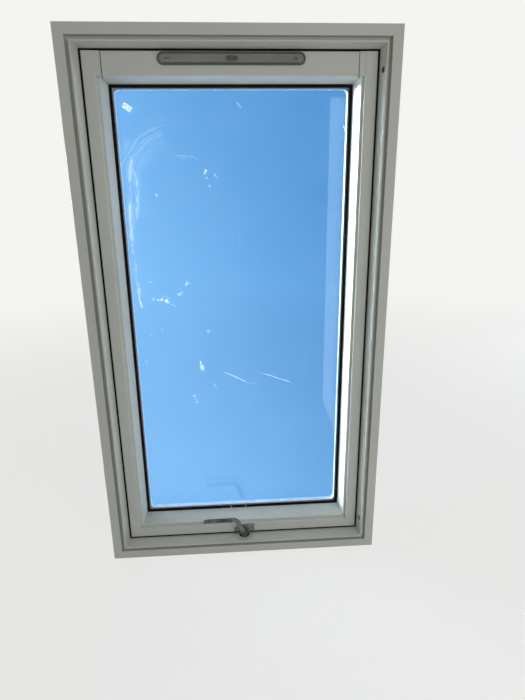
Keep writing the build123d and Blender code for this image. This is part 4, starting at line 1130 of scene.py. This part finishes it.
@dataclass
class HandleSet(SubAssembly):
    """The bent lever on its turned hub, the plate under it and the dark wells round the plate's screws, which
    are painted shade.

    The plate's rim has its insets in millimetres and its rises in shares of the plate's thickness.
    """

    elbow: Pair = (-23.0 * MM, 51.0 * MM)
    tip: Pair = (-121.5 * MM, 49.5 * MM)
    bend: float = 13.0 * MM
    bar_width: float = 12.5 * MM
    bar_depth: float = 9.0 * MM
    bar_rounding: float = 3.9 * MM
    tip_rounding: float = 3.0 * MM
    neck: float = 46.0 * MM
    neck_spread: float = 1.34
    hub_height: float = 32.0 * MM
    hub: Rows = ((0, 0.3), (11.2, 0.3), (11.6, 1.0), (11.6, 2.6), (10.8, 3.4), (8.6, 4.2), (8.2, 18),
                 (8.6, 22.6), (9.1, 24.4), (9.1, 28.6), (8.6, 30.4), (7.0, 31.4), (0, 31.7))
    plate_corner: float = 3.0 * MM
    plate_step: float = 12.0 * MM
    plate_rim: Rows = ((0, 0), (0, 0.62), (0.3, 0.85), (1.2, 1), (2.2, 1), (2.6, 0.92))
    well: Rows = ((3.5, 3.0), (3.5, 3.75), (3.9, 3.98), (5.6, 3.98), (6.0, 3.75), (6.0, 3.0), (3.5, 3.0))

    def lever(self) -> None:
        """The lever: a bar along the bent path, wide at the hub and rounded at its end, and the hub."""
        hub, front = middle("handle_spindle"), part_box("handle_lever")[0][1]
        start = np.array([0.0, hub[2]])
        flat = bent_path(start, start + self.elbow, start + self.tip, self.bend, (14, 12, 26))
        path = np.insert(flat, 1, front + self.bar_depth / 2, axis=1)
        along = np.gradient(flat, axis=0)
        along /= np.linalg.norm(along, axis=1, keepdims=True)
        across = np.stack((-along[:, 1], np.zeros(len(flat)), along[:, 0]), axis=1)
        run = np.concatenate(([0], np.cumsum(np.linalg.norm(np.diff(flat, axis=0), axis=1))))
        widen = 1 + (self.neck_spread - 1) * (1 - smooth_step(run / self.neck))
        past = np.maximum(self.tip_rounding - (run[-1] - run), 0)
        fold = self.tip_rounding - np.sqrt(np.maximum(self.tip_rounding ** 2 - past ** 2, 0))
        spread = np.stack((widen - 2 * fold / self.bar_width, 1 - fold / self.bar_depth), axis=1)
        section = bar_profile(self.bar_width, self.bar_depth, self.bar_rounding)
        bar = sweep(section, path, across, (0.0, -1.0, 0.0), spread)
        plate_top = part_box("handle_plate")[0][1]
        turned = metres(self.hub) * (1.0, (plate_top - front) / self.hub_height)
        knob = lathe(turned, room_side(hub[0], plate_top, hub[2]), steps=48)
        piece = self.piece("lever_grip", [bar, knob], HANDLE_METAL, Body.HANDLE, Slot.HANDLE, crease=30)
        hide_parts("handle_lever")

    def plate(self) -> None:
        """The plate: a tall part under the hub and to its right, a low round lobe on the left, and dark wells
        of painted shade round its screws.
        """
        low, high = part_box("handle_plate")
        rim = np.array(self.plate_rim) * (MM, high[1] - low[1])
        screws = plate_screws(high[1])
        lobe = 2 * (screws[0].origin[2] - low[2])
        grids = []
        for left, right, tall, corner in ((-self.plate_step, high[0], high[2] - low[2], self.plate_corner),
                                          (low[0], 0.0, lobe, lobe / 2)):
            levels = [[tall / 2, 0], *rim, [tall / 2, rim[-1, 1]]]
            place = room_side((left + right) / 2, high[1], low[2] + tall / 2)
            grids.append(tablet(right - left, tall, corner, levels, place))
        piece = self.piece("handle_rose", grids, PLATE_METAL, Body.SASH, Slot.HANDLE, crease=30)
        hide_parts("handle_plate")
        # Dark rings round the screws: painted shade.
        wells = [lathe(metres(self.well), spot, steps=32) for spot in screws]
        self.piece("screw_wells", wells, SCREW_WELL_SHADE, Body.SASH, Slot.HANDLE, crease=30)

    def build(self) -> None:
        """Builds the handle."""
        self.lever()
        self.plate()


@dataclass
class Ventilator(SubAssembly):
    """The dark rim round the vent's panel, whose dark grey is painted shade of the gap round the panel, its
    base a share of its depth, and two plain signs on the panel.
    """

    rim: float = 4.0 * MM
    rim_base: float = 0.45
    sign_x: float = 148.0 * MM
    minus: float = 15.0 * MM
    plus: float = 11.0 * MM
    stroke: float = 2.3 * MM
    sign: Rows = ((1.15, -0.1), (0, -0.1), (0, 0.21), (0.3, 0.35), (1.15, 0.35))

    def build(self) -> None:
        """Builds the rim as a rounded bead that follows the capsule, then a minus and a plus."""
        size, place = seat("vent_bezel")
        angle = np.linspace(0, math.pi, 11)
        rise = size[1] * (self.rim_base + (1 - self.rim_base) * np.sin(angle))
        bead = np.stack((self.rim / 2 * (1 - np.cos(angle)), rise), axis=1)
        levels = np.concatenate(([[0, 0]], bead, [[self.rim, 0], [0, 0]]))
        grid = tablet(size[0], size[2], size[2] / 2, levels, place, steps=24)
        piece = self.piece("vent_rim", [grid], VENT_RIM, Body.SASH, Slot.VENT, crease=50)
        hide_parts("vent_bezel")
        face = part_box("vent_panel")[0][1]
        signs = ((-self.sign_x, self.minus, self.stroke), (self.sign_x, self.plus, self.stroke),
                 (self.sign_x, self.stroke, self.plus))
        grids = [tablet(width, height, self.stroke / 2, metres(self.sign),
                        room_side(x, face, place.origin[2]), steps=6) for x, width, height in signs]
        self.piece("vent_signs", grids, VENT_RIM, Body.SASH, Slot.VENT)


@dataclass
class KeeperTrim(SubAssembly):
    """The raised rim round the keeper's half disc and the small hook in its middle."""

    radius: float = 28.0 * MM
    start: float = 3.0 * MM
    top: float = 1.5 * MM
    rim: float = 1.0 * MM
    hook: Rows = ((2.6, -0.6), (0, -0.6), (0, 1.0), (0.8, 1.7), (2.6, 1.9))
    hook_size: Point = (15.0 * MM, 5.2 * MM, 2.6 * MM)
    hook_up: float = 4.4 * MM

    def build(self) -> None:
        """Builds the rim, a thin round bar along a half circle, and a low rounded hook."""
        place = flare(0.0, self.start, self.top)
        angle = np.linspace(0.02 * math.pi, 0.98 * math.pi, 40)
        out = np.stack((np.cos(angle), np.sin(angle), np.zeros(40)), axis=1)
        section = bar_profile(2 * self.rim, 1.6 * self.rim, 0.75 * self.rim)
        rim = sweep(section, place.put(self.radius * out), out @ place.axes, place.axes[2])
        spot = flare(0.0, self.start + self.hook_up, self.top)
        hook = tablet(*self.hook_size, metres(self.hook), spot, steps=6)
        self.piece("keeper_rim", [rim, hook], KEEPER_PLASTIC, Body.FRAME, Slot.KEEPER)


@dataclass
class BoltTrim(SubAssembly):
    """Near-black liners in the two bolt holes of the right jamb, painted shade of the holes, and the small
    cap under the lower one.
    """

    hole_up: float = 17.0 * MM
    heights: Pair = (0.09, 1.31)
    lip: Rows = ((6.1, -0.8), (6.1, 0.1), (6.4, 0.4), (6.9, 0.4), (7.14, 0), (6.4, -0.1), (6.4, -0.8),
                 (6.1, -0.8))
    tube: Rows = ((5.85, 1.4), (5.85, 7.0), (6.15, 7.0), (6.15, 1.4), (5.85, 1.4))
    cap: Rows = ((0, -0.2), (2.6, -0.2), (2.6, 0.3), (2.1, 0.6), (0, 0.75))
    cap_drop: float = 23.0 * MM

    def spot(self, height: float) -> Place:
        """A place on the right jamb's flared face, in line with the bolt holes.

        Args:
            height: Its height, in metres.

        Returns:
            The place, its third direction out of the face.
        """
        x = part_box("frame_jamb_right")[1][0] - FLARE_INSET + self.hole_up * math.tan(FLARE_LEAN)
        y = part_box("sash_bottom_rail")[0][1] - self.hole_up
        return Place((x, y, height), (math.sin(FLARE_LEAN), -math.cos(FLARE_LEAN), 0.0), (0.0, 0.0, 1.0))

    def build(self) -> None:
        """Builds the liners, a turned ring on the face and a tube in each hole, and the cap, a low dome."""
        # The liners' near-black is painted shade of the holes.
        grids = []
        for spot in map(self.spot, self.heights):
            grids += [lathe(metres(self.lip), spot),
                      lathe(metres(self.tube), Place(spot.origin, (0.0, 1.0, 0.0), (0.0, 0.0, 1.0)))]
        self.piece("bolt_hole_liners", grids, HOLE_SHADE_LINER, Body.FRAME, Slot.VENT)
        cap = lathe(metres(self.cap), self.spot(self.heights[0] - self.cap_drop), steps=24)
        self.piece("jamb_cap", [cap], CAP_GREY, Body.FRAME, Slot.KEEPER)


@dataclass
class Screws(SubAssembly):
    """Domed heads with a cross recess on every group of screws, and the covers' screws with their washers.

    The cross is given by half its arms' width, their reach and their ends' slope, as shares of the radius.
    A row of screws is given by its first and last place in metres and their count.
    """

    radius: float = 3.7 * MM
    dome: float = 0.9 * MM
    plate_dip: float = 0.45 * MM
    keeper: Point = (22.0 * MM, 9.0 * MM, 1.5 * MM)
    bracket_off: Pair = (0.48, 0.02)
    hinge_off: Pair = (22.0 * MM, 40.0 * MM)
    arm_inset: float = 14.0 * MM
    frame_inset: float = 12.0 * MM
    sash_inset: float = 13.0 * MM
    washer: Rows = ((0, -0.1), (5.4, -0.1), (5.4, 0.5), (4.8, 1.0), (0, 1.0))
    cross: Point = (0.13, 0.72, 0.12)
    jamb_rows: tuple[Row, Row] = ((0.08, 0.62, 4), (0.78, 1.3, 4))
    sill_row: Row = (-0.24, 0.24, 3)
    stile_row: Row = (0.12, 1.28, 6)
    bottom_row: Row = (-0.2, 0.2, 3)
    top_row: Row = (-0.24, 0.24, 2)

    def head(self, place: Place, dome: float) -> np.ndarray:
        """A low dome, height * sqrt(1 - 0.8 r^2), with a sunk cross where |x| or |y| is small.

        Args:
            place: The middle of the head's seat.
            dome: Its height.

        Returns:
            A grid of points.
        """
        share = np.array([0, 1, 1, 0.94, 0.84, 0.74, 0.68, 0.6, 0.5, 0.4, 0.3, 0.2, 0.1, 0])[:, None]
        angle = np.linspace(0, 2 * math.pi, 49)
        x, y = share * np.cos(angle), share * np.sin(angle)
        half, reach, slope = self.cross
        arm = np.minimum(np.abs(x), np.abs(y)) < half
        sunk = smooth_step((reach - np.maximum(np.abs(x), np.abs(y))) / slope) * arm
        rise = dome * (np.sqrt(np.maximum(1 - 0.8 * share ** 2, 0)) - 0.8 * sunk)
        rise[:2] = -0.1 * MM
        rise[2] = 0.3 * dome
        return place.put(np.stack((x * self.radius, y * self.radius, rise), axis=-1))

    def group(self, name: str, places: list[Place], body: Body, dome: float,
              finish: Finish = ZINC_STEEL) -> None:
        """Builds one group of heads on a body, their height being a share of the usual one."""
        heads = [self.head(place, dome * self.dome) for place in places]
        self.piece(name, heads, finish, body, Slot.STEEL, crease=35)

    def pairs(self, offsets: list[float], half: float, depth: float, out: int) -> list[Place]:
        """Screws at heights off the window's middle, on both sides, that face out or, where out is -1, in."""
        return [Place((side * half, depth, MIDDLE_HEIGHT + off), (0.0, side * out, 0.0), (0.0, 0.0, 1.0))
                for side in (-1, 1) for off in offsets]

    def fittings(self) -> None:
        """The heads on the handle, the keeper, the brackets and the hinges."""
        seats = plate_screws(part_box("handle_plate")[0][1] + self.plate_dip)
        self.group("handle_screw_heads", seats, Body.SASH, 1.0)
        x, up, rise = self.keeper
        seats = [flare(s * x, up, rise) for s in (-1, 1)]
        self.group("keeper_screw_heads", seats, Body.FRAME, 0.5, KEEPER_PLASTIC)
        low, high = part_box("bracket_screws")
        far, near = self.bracket_off
        offsets = [s * far + t * near for s in (-1, 1) for t in (-1, 1)]
        seats = self.pairs(offsets, high[0], (low[1] + high[1]) / 2, 1)
        self.group("bracket_screw_heads", seats, Body.FRAME, 1.0)
        offsets = [s * off for s in (-1, 1) for off in self.hinge_off]
        low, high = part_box("hinge_arm_right")
        depth = (low[1] + high[1]) / 2
        seats = self.pairs(offsets, high[0] - self.arm_inset, depth, 1)
        self.group("hinge_screw_heads_sash", seats, Body.SASH, 0.5)
        seats = self.pairs(offsets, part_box("hinge_housing_right")[0][0], depth, -1)
        self.group("hinge_screw_heads_frame", seats, Body.FRAME, 0.5)

    def covers(self) -> None:
        """Screws with rubber washers along the outside covers of the frame and the sash."""
        jamb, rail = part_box("cover_right_lower")[1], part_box("sash_cover_right")[1]
        edge = jamb[0] - self.frame_inset
        heights = np.concatenate([np.linspace(*row) for row in self.jamb_rows])
        on_frame = [weather_side(s * edge, jamb[1], z) for s in (-1, 1) for z in heights]
        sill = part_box("cover_sill")[1][1]
        on_frame += [weather_side(x, sill, self.frame_inset) for x in np.linspace(*self.sill_row)]
        edge = rail[0] - self.sash_inset
        on_sash = [weather_side(s * edge, rail[1], z) for s in (-1, 1) for z in np.linspace(*self.stile_row)]
        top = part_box("sash_cover_top")[1][2] - self.sash_inset
        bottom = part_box("sash_cover_bottom")[0][2] + self.sash_inset
        on_sash += [weather_side(x, rail[1], bottom) for x in np.linspace(*self.bottom_row)]
        on_sash += [weather_side(x, rail[1], top) for x in np.linspace(*self.top_row)]
        washer = metres(self.washer)
        for name, spots, body in (("frame_cover", on_frame, Body.FRAME), ("sash_cover", on_sash, Body.SASH)):
            rings = [lathe(washer, spot, 28) for spot in spots]
            self.piece(name + "_washers", rings, SEAL_RUBBER, body, Slot.SEAL)
            raised = [weather_side(x, y + washer[-1, 1], z) for x, y, z in (spot.origin for spot in spots)]
            self.group(name + "_screw_heads", raised, body, 1.4)

    def build(self) -> None:
        """Builds every group."""
        self.fittings()
        self.covers()


@dataclass
class WeatherTrim(SubAssembly):
    """The straps over the covers' joints, the hood's hem, and the gussets pressed into the brackets."""

    strap_size: Point = (34.0 * MM, 26.0 * MM, 4.0 * MM)
    strap: Rows = ((13.0, -0.1), (0, -0.1), (0, 0.9), (0.5, 1.3), (3, 1.5), (13.0, 1.5))
    strap_inset: float = 21.5 * MM
    hem: float = 1.2 * MM
    hem_ends: float = 0.5 * MM
    hem_place: Pair = (2.0 * MM, 0.2 * MM)
    gusset: float = 3.2 * MM
    gusset_heights: Pair = (0.22, 1.18)
    gusset_foot: Pair = (2.0 * MM, -11.0 * MM)
    gusset_head: Pair = (13.5 * MM, 0.4 * MM)
    gusset_lift: Pair = (0.7, -0.72)
    flange: float = 2.5 * MM

    def straps(self) -> None:
        """A low rounded strap on each jamb where the upper and lower covers meet."""
        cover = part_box("cover_right_lower")[1]
        x = cover[0] - self.strap_inset
        spots = [weather_side(s * x, cover[1], MIDDLE_HEIGHT) for s in (-1, 1)]
        grids = [tablet(*self.strap_size, metres(self.strap), spot) for spot in spots]
        self.piece("cover_joint_straps", grids, COVER_METAL, Body.FRAME, Slot.COVER)

    def hood_hem(self) -> None:
        """The rolled edge along the hood's lower fold: a round bar along the width."""
        low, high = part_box("hood")
        x = np.linspace(low[0] + self.hem_ends, high[0] - self.hem_ends, 24)
        y, z = high[1] - self.hem_place[0], low[2] + self.hem_place[1]
        path = np.stack(np.broadcast_arrays(x, y, z), axis=1)
        section = bar_profile(2 * self.hem, 2 * self.hem, 0.98 * self.hem)
        bar = sweep(section, path, (0.0, 1.0, 0.0), (0.0, 0.0, 1.0))
        self.piece("hood_hem", [bar], COVER_METAL, Body.FRAME, Slot.COVER)

    def gussets(self) -> None:
        """Half-round stiffeners across each bracket's bend: a round bar from the leg to the flange."""
        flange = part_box("fixing_brackets")[1][1] - self.flange
        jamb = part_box("frame_jamb_right")[1][0]
        reach = np.linspace(0, 1, 9)[:, None]
        swell = np.sin(math.pi * (0.12 + 0.76 * reach)) * (1.0, 1.0)
        section = bar_profile(2 * self.gusset, 1.5 * self.gusset, 0.7 * self.gusset)
        grids = []
        for side in (-1, 1):
            lift = np.array([side * self.gusset_lift[0], self.gusset_lift[1], 0.0])
            lift /= np.linalg.norm(lift)
            for z in self.gusset_heights:
                foot, head = (np.array([side * (jamb + out), flange + deep, z])
                              for out, deep in (self.gusset_foot, self.gusset_head))
                grids.append(sweep(section, foot + (head - foot) * reach, (0.0, 0.0, 1.0), lift, swell))
        self.piece("bracket_gussets", grids, ZINC_STEEL, Body.FRAME, Slot.STEEL)

    def build(self) -> None:
        """Builds the trim of the weather side."""
        self.straps()
        self.hood_hem()
        self.gussets()


@dataclass
class GlassMarks(SubAssembly):
    """What lies on the room side of the glass: a thin film, scratches, dried spots and a white patch.

    A stroke is given by its first point across and up, its last point across and up, and its width, and a
    spot by its place across and up and its width, all in millimetres. A stroke's bow is a share of its
    length, and its bar is given by its thickness and rounding. The spots' levels are rows of a share of the
    radius and a rise in millimetres.
    """

    film_gap: float = 0.25 * MM
    film_edge: float = 12.0 * MM
    mark_gap: float = 0.05 * MM
    strokes: Rows = (
        (-44, 545, 18, 512, 2.3), (69, 537, 118, 518, 2.0), (116, 519, 149, 507, 1.4),
        (-110, 564, -111, 583, 3.4), (-269, 768, -264, 742, 4.5), (-271, 790, -268, 764, 2.5),
    )
    spots: Rows = (
        (-218, 762, 5), (-208, 763, 8), (-196, 759, 10), (-192, 755, 6), (-108, 563, 10), (-73, 1095, 6),
        (284, 1191, 7), (280, 1196, 4),
    )
    faint_strokes: Rows = (
        (22, 510, 52, 505, 1.6), (55, 544, 70, 537, 1.6), (-188, 750, -170, 743, 2.5),
        (-246, 812, -228, 811, 2.5), (-266, 593, -263, 577, 3.0), (-76, 513, -70, 496, 3.0),
        (-146, 1131, -106, 1129, 1.4), (-142, 1125, -118, 1126, 1.2), (-104, 1129, -92, 1121, 1.6),
        (9, 938, 8, 900, 1.3), (9, 1254, 21, 1240, 4.0),
    )
    faint_spots: Rows = (
        (-214, 678, 5), (-244, 663, 4), (-132, 464, 6), (-72, 1077, 6), (-65, 1058, 5), (-203, 1037, 8),
        (-231, 764, 7), (-50, 1084, 7), (-46, 1078, 4), (-75, 1090, 9), (-136, 807, 10), (-140, 803, 7),
        (-159, 777, 10), (-153, 780, 6), (-85, 669, 9), (-134, 475, 8), (-127, 455, 8), (-107, 558, 15),
    )
    bow: float = 0.02
    stroke_bar: Pair = (0.12 * MM, 0.05 * MM)
    spot_levels: Rows = ((0, -0.01), (1, -0.01), (0.9, 0.06), (0, 0.09))
    patch_at: Pair = (-259.0 * MM, 1243.5 * MM)
    patch_size: Point = (22.0 * MM, 13.5 * MM, 2.0 * MM)
    patch_turn: float = -36.0
    patch_levels: Rows = ((6.75, -0.01), (0, -0.01), (0.1, 0.08), (6.75, 0.1))

    def stroke(self, line: tuple[float, ...], face: float) -> np.ndarray:
        """A flat stroke between two points, which bows a little and thins towards both ends.

        Args:
            line: The stroke's points and width.
            face: The depth of the surface that it lies on.

        Returns:
            A grid of points.
        """
        share = np.linspace(0, 1, 14)[:, None]
        start, end = np.array(line[:2]) * MM, np.array(line[2:4]) * MM
        length = np.linalg.norm(end - start)
        along = (end - start) / length
        side = np.array([-along[1], along[0]])
        flat = start + (end - start) * share + side * self.bow * length * np.sin(math.pi * share)
        thin = np.sqrt(np.sin(math.pi * (0.04 + 0.92 * share))) * (1.0, 1.0)
        section = bar_profile(line[4] * MM, *self.stroke_bar, 2)
        path, across = np.insert(flat, 1, face, axis=1), np.insert(side, 1, 0.0)
        return sweep(section, path, across, (0.0, -1.0, 0.0), thin)

    def spot(self, spot: tuple[float, ...], face: float) -> np.ndarray:
        """A flat round spot whose radius swings: r = size / 2 * (1 + 0.2 sin(3 a + x) + 0.1 sin(5 a + z)).

        Args:
            spot: Its place and width.
            face: The depth of the surface that it lies on.

        Returns:
            A grid of points.
        """
        x, z, size = spot
        angle = np.linspace(0, 2 * math.pi, 29)
        radius = size / 2 * MM * (1 + 0.2 * np.sin(3 * angle + x) + 0.1 * np.sin(5 * angle + z))
        levels = np.array(self.spot_levels)
        reach = levels[:, :1] * radius
        rise = np.broadcast_to(levels[:, 1:] * MM, reach.shape)
        local = np.stack((reach * np.cos(angle), reach * np.sin(angle), rise), axis=-1)
        return room_side(x * MM, face, z * MM).put(local)

    def patch(self, face: float) -> np.ndarray:
        """The white patch near the top corner: a flat plate with rounded corners, turned on the glass.

        Args:
            face: The depth of the surface that it lies on.

        Returns:
            A grid of points.
        """
        x, z = self.patch_at
        cos, sin = math.cos(math.radians(self.patch_turn)), math.sin(math.radians(self.patch_turn))
        place = Place((x, face, z), (cos, 0.0, sin), (-sin, 0.0, cos))
        return tablet(*self.patch_size, metres(self.patch_levels), place, steps=5)

    def film(self, face: float) -> None:
        """The film: one flat sheet just before the glass, inside the gasket, that faces the room.

        Args:
            face: The depth of the glass.
        """
        low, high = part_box("glass_inner")
        x, z = (np.linspace(low[k] + self.film_edge, high[k] - self.film_edge, count)
                for k, count in ((0, 25), (2, 57)))
        sheet = np.stack(np.broadcast_arrays(x, face - self.film_gap, z[:, None]), axis=-1)
        piece = self.piece("glass_film", [sheet], DUST_AND_REFLECTION_FILM, Body.SASH, Slot.GLASS)
        facing = np.zeros(3 * len(piece.data.polygons))
        piece.data.polygons.foreach_get("normal", facing)
        if facing[1] > 0:
            piece.data.flip_normals()
        piece.visible_shadow = False

    def build(self) -> None:
        """Builds the marks and the film."""
        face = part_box("glass_inner")[0][1]
        surface = face - self.mark_gap
        for name, finish, strokes, spots, more in (
                ("glass_bright_marks", BRIGHT_MARK, self.strokes, self.spots, [self.patch(surface)]),
                ("glass_faint_marks", FAINT_MARK, self.faint_strokes, self.faint_spots, [])):
            grids = [self.stroke(line, surface) for line in strokes] + more
            grids += [self.spot(spot, surface) for spot in spots]
            self.piece(name, grids, finish, Body.SASH, Slot.GLASS)
        self.film(face)


# The studio

def seen_rays(graph: Graph) -> Socket:
    """1 for rays from the camera, from gloss and through glass, or 0."""
    camera, gloss, glass = (graph.node("LightPath").outputs[f"Is {kind} Ray"]
                            for kind in ("Camera", "Glossy", "Transmission"))
    return graph.math("MAXIMUM", graph.math("MAXIMUM", camera, gloss), glass)


@dataclass(frozen=True)
class Lamp:
    """A square soft lamp, or a sun where its size is nothing. Glass shows neither, and gloss only the sun."""

    name: str
    at: Point
    target: Point
    size: float
    power: float
    colour: Point
    sun_angle: float = 6.0

    def build(self) -> None:
        """Adds the lamp."""
        data = bpy.data.lights.new(self.name, "AREA" if self.size else "SUN")
        data.energy = self.power
        data.color = self.colour
        if self.size:
            data.size = self.size
        else:
            data.angle = math.radians(self.sun_angle)
        lamp = bpy.data.objects.new(self.name, data)
        bpy.context.scene.collection.objects.link(lamp)
        lamp.visible_transmission = False
        lamp.visible_glossy = not self.size
        lamp.location = self.at
        lamp.rotation_euler = (Vector(self.target) - Vector(self.at)).to_track_quat("-Z", "Y").to_euler()


@dataclass
class Studio:
    """The camera at the photograph's place, a round pale floor and wall, a sun, sky light and a room lamp."""

    camera_at: Point = (-0.0199, -1.3632, 1.0572)
    camera_right: Point = (0.99779, -0.06547, -0.01165)
    camera_up: Point = (0.03107, 0.30413, 0.95212)
    lens: float = 26.37
    sensor: float = 36.0
    pale: Colour = screen(244, 244, 242)
    world_strength: float = 0.32
    floor_reach: float = 5.0
    turn_radius: float = 3.0
    wall_top: float = 14.0
    lit_share: float = 0.22
    lit_reach: Pair = (0.2, 0.9)
    lamps: tuple[Lamp, ...] = (
        Lamp("sun", (-1.7, 2.8, 0.72), (0.0, 0.0, 0.7), 0.0, 4.5, (1.0, 0.985, 0.95)),
        Lamp("sky_lamp", (2.9, 1.5, 0.6), (0.0, 0.0, 1.1), 1.2, 30.0, (0.62, 0.8, 1.0)),
        Lamp("room_lamp", (1.4, -2.4, 1.1), (0.0, 0.0, 0.7), 1.4, 14.0, (1.0, 0.99, 0.97)),
    )

    def camera(self) -> None:
        """Places the camera."""
        data = bpy.data.cameras.new("photo_camera")
        data.sensor_fit = "AUTO"
        data.sensor_width = self.sensor
        data.lens = self.lens
        data.clip_start = 0.05
        camera = bpy.data.objects.new("photo_camera", data)
        bpy.context.scene.collection.objects.link(camera)
        right, up = Vector(self.camera_right), Vector(self.camera_up)
        turn = Matrix((right, up, right.cross(up))).transposed().to_4x4()
        camera.matrix_world = Matrix.Translation(self.camera_at) @ turn
        bpy.context.scene.camera = camera

    def pale_finish(self) -> Material:
        """The pale floor: partly lit near the window, farther out a plain tone for camera, gloss and glass.

        Returns:
            The material.
        """
        material, graph, shader = new_material("pale_sweep")
        graph.feed(shader, {"Base Color": self.pale, "Roughness": 0.9, "Specular IOR Level": 0.1})
        away = graph.node("VectorMath", {0: graph.place()}, operation="LENGTH").outputs["Value"]
        near, far = (share * self.floor_reach for share in self.lit_reach)
        plain = graph.product(seen_rays(graph), graph.span(away, near, far, 1.0 - self.lit_share, 1.0))
        glow = graph.node("Emission", {"Color": self.pale, "Strength": 1.0})
        mixed = graph.node("MixShader", {0: plain, 1: shader.outputs[0], 2: glow.outputs[0]})
        graph.feed(material.node_tree.nodes["Material Output"], {"Surface": mixed.outputs[0]})
        return material

    def turned(self, name: str, profile: np.ndarray, finish: Material) -> Piece:
        """A stage surface turned round the upright axis.

        Args:
            name: Its name.
            profile: Rows of radius and height.
            finish: Its material.

        Returns:
            The surface.
        """
        grid = lathe(profile, Place((0.0, 0.0, 0.0), (1.0, 0.0, 0.0), (0.0, 1.0, 0.0)), steps=64)
        surface = grid_object(name, [grid], finish)
        return surface

    def backdrop(self) -> None:
        """A flat round floor that turns up into a round wall.

        The turn is a quarter circle: radius = reach + turn * sin a, height = turn * (1 - cos a). The wall
        lets the lamps' light through, so that the sun can stand behind it, and the floor reaches a little
        under it.
        """
        angle = np.linspace(0, math.pi / 2, 17)
        reach, radius = self.floor_reach, self.turn_radius
        turn = np.stack((reach + radius * np.sin(angle), radius * (1 - np.cos(angle))), axis=1)
        finish = self.pale_finish()
        self.turned("pale_floor", np.array([[0.0, 0.0], [0.5 * reach, 0.0], [1.05 * reach, 0.0]]), finish)
        wall = self.turned("pale_wall", np.concatenate((turn, [[reach + radius, self.wall_top]])), finish)
        wall.visible_shadow = False
        wall.visible_diffuse = False

    def world(self) -> None:
        """A pale world: a low soft light on the object, at full strength where it is seen."""
        world = bpy.data.worlds.new("soft_world")
        bpy.context.scene.world = world
        world.use_nodes = True
        graph = Graph(world.node_tree)
        strength = graph.span(seen_rays(graph), 0.0, 1.0, self.world_strength / self.pale[0], 1.0)
        graph.feed(world.node_tree.nodes["Background"], {"Color": self.pale, "Strength": strength})

    def build(self) -> None:
        """Builds the studio."""
        self.camera()
        self.backdrop()
        self.world()
        for lamp in self.lamps:
            lamp.build()
        bpy.context.scene.view_settings.view_transform = "Standard"


def main() -> None:
    """Builds the studio, dresses the CAD nodes, then adds each sub-assembly's own pieces."""
    logging.basicConfig(level=logging.INFO, format="%(message)s")
    Studio().build()
    book = FinishBook()
    book.dress_nodes()
    for maker in (Seals, WeldBeads, HandleSet, Ventilator, KeeperTrim, BoltTrim, Screws, WeatherTrim,
                  GlassMarks):
        maker(book).build()
        LOG.info("%s built", maker.__name__)


if __name__ == "__main__":
    main()
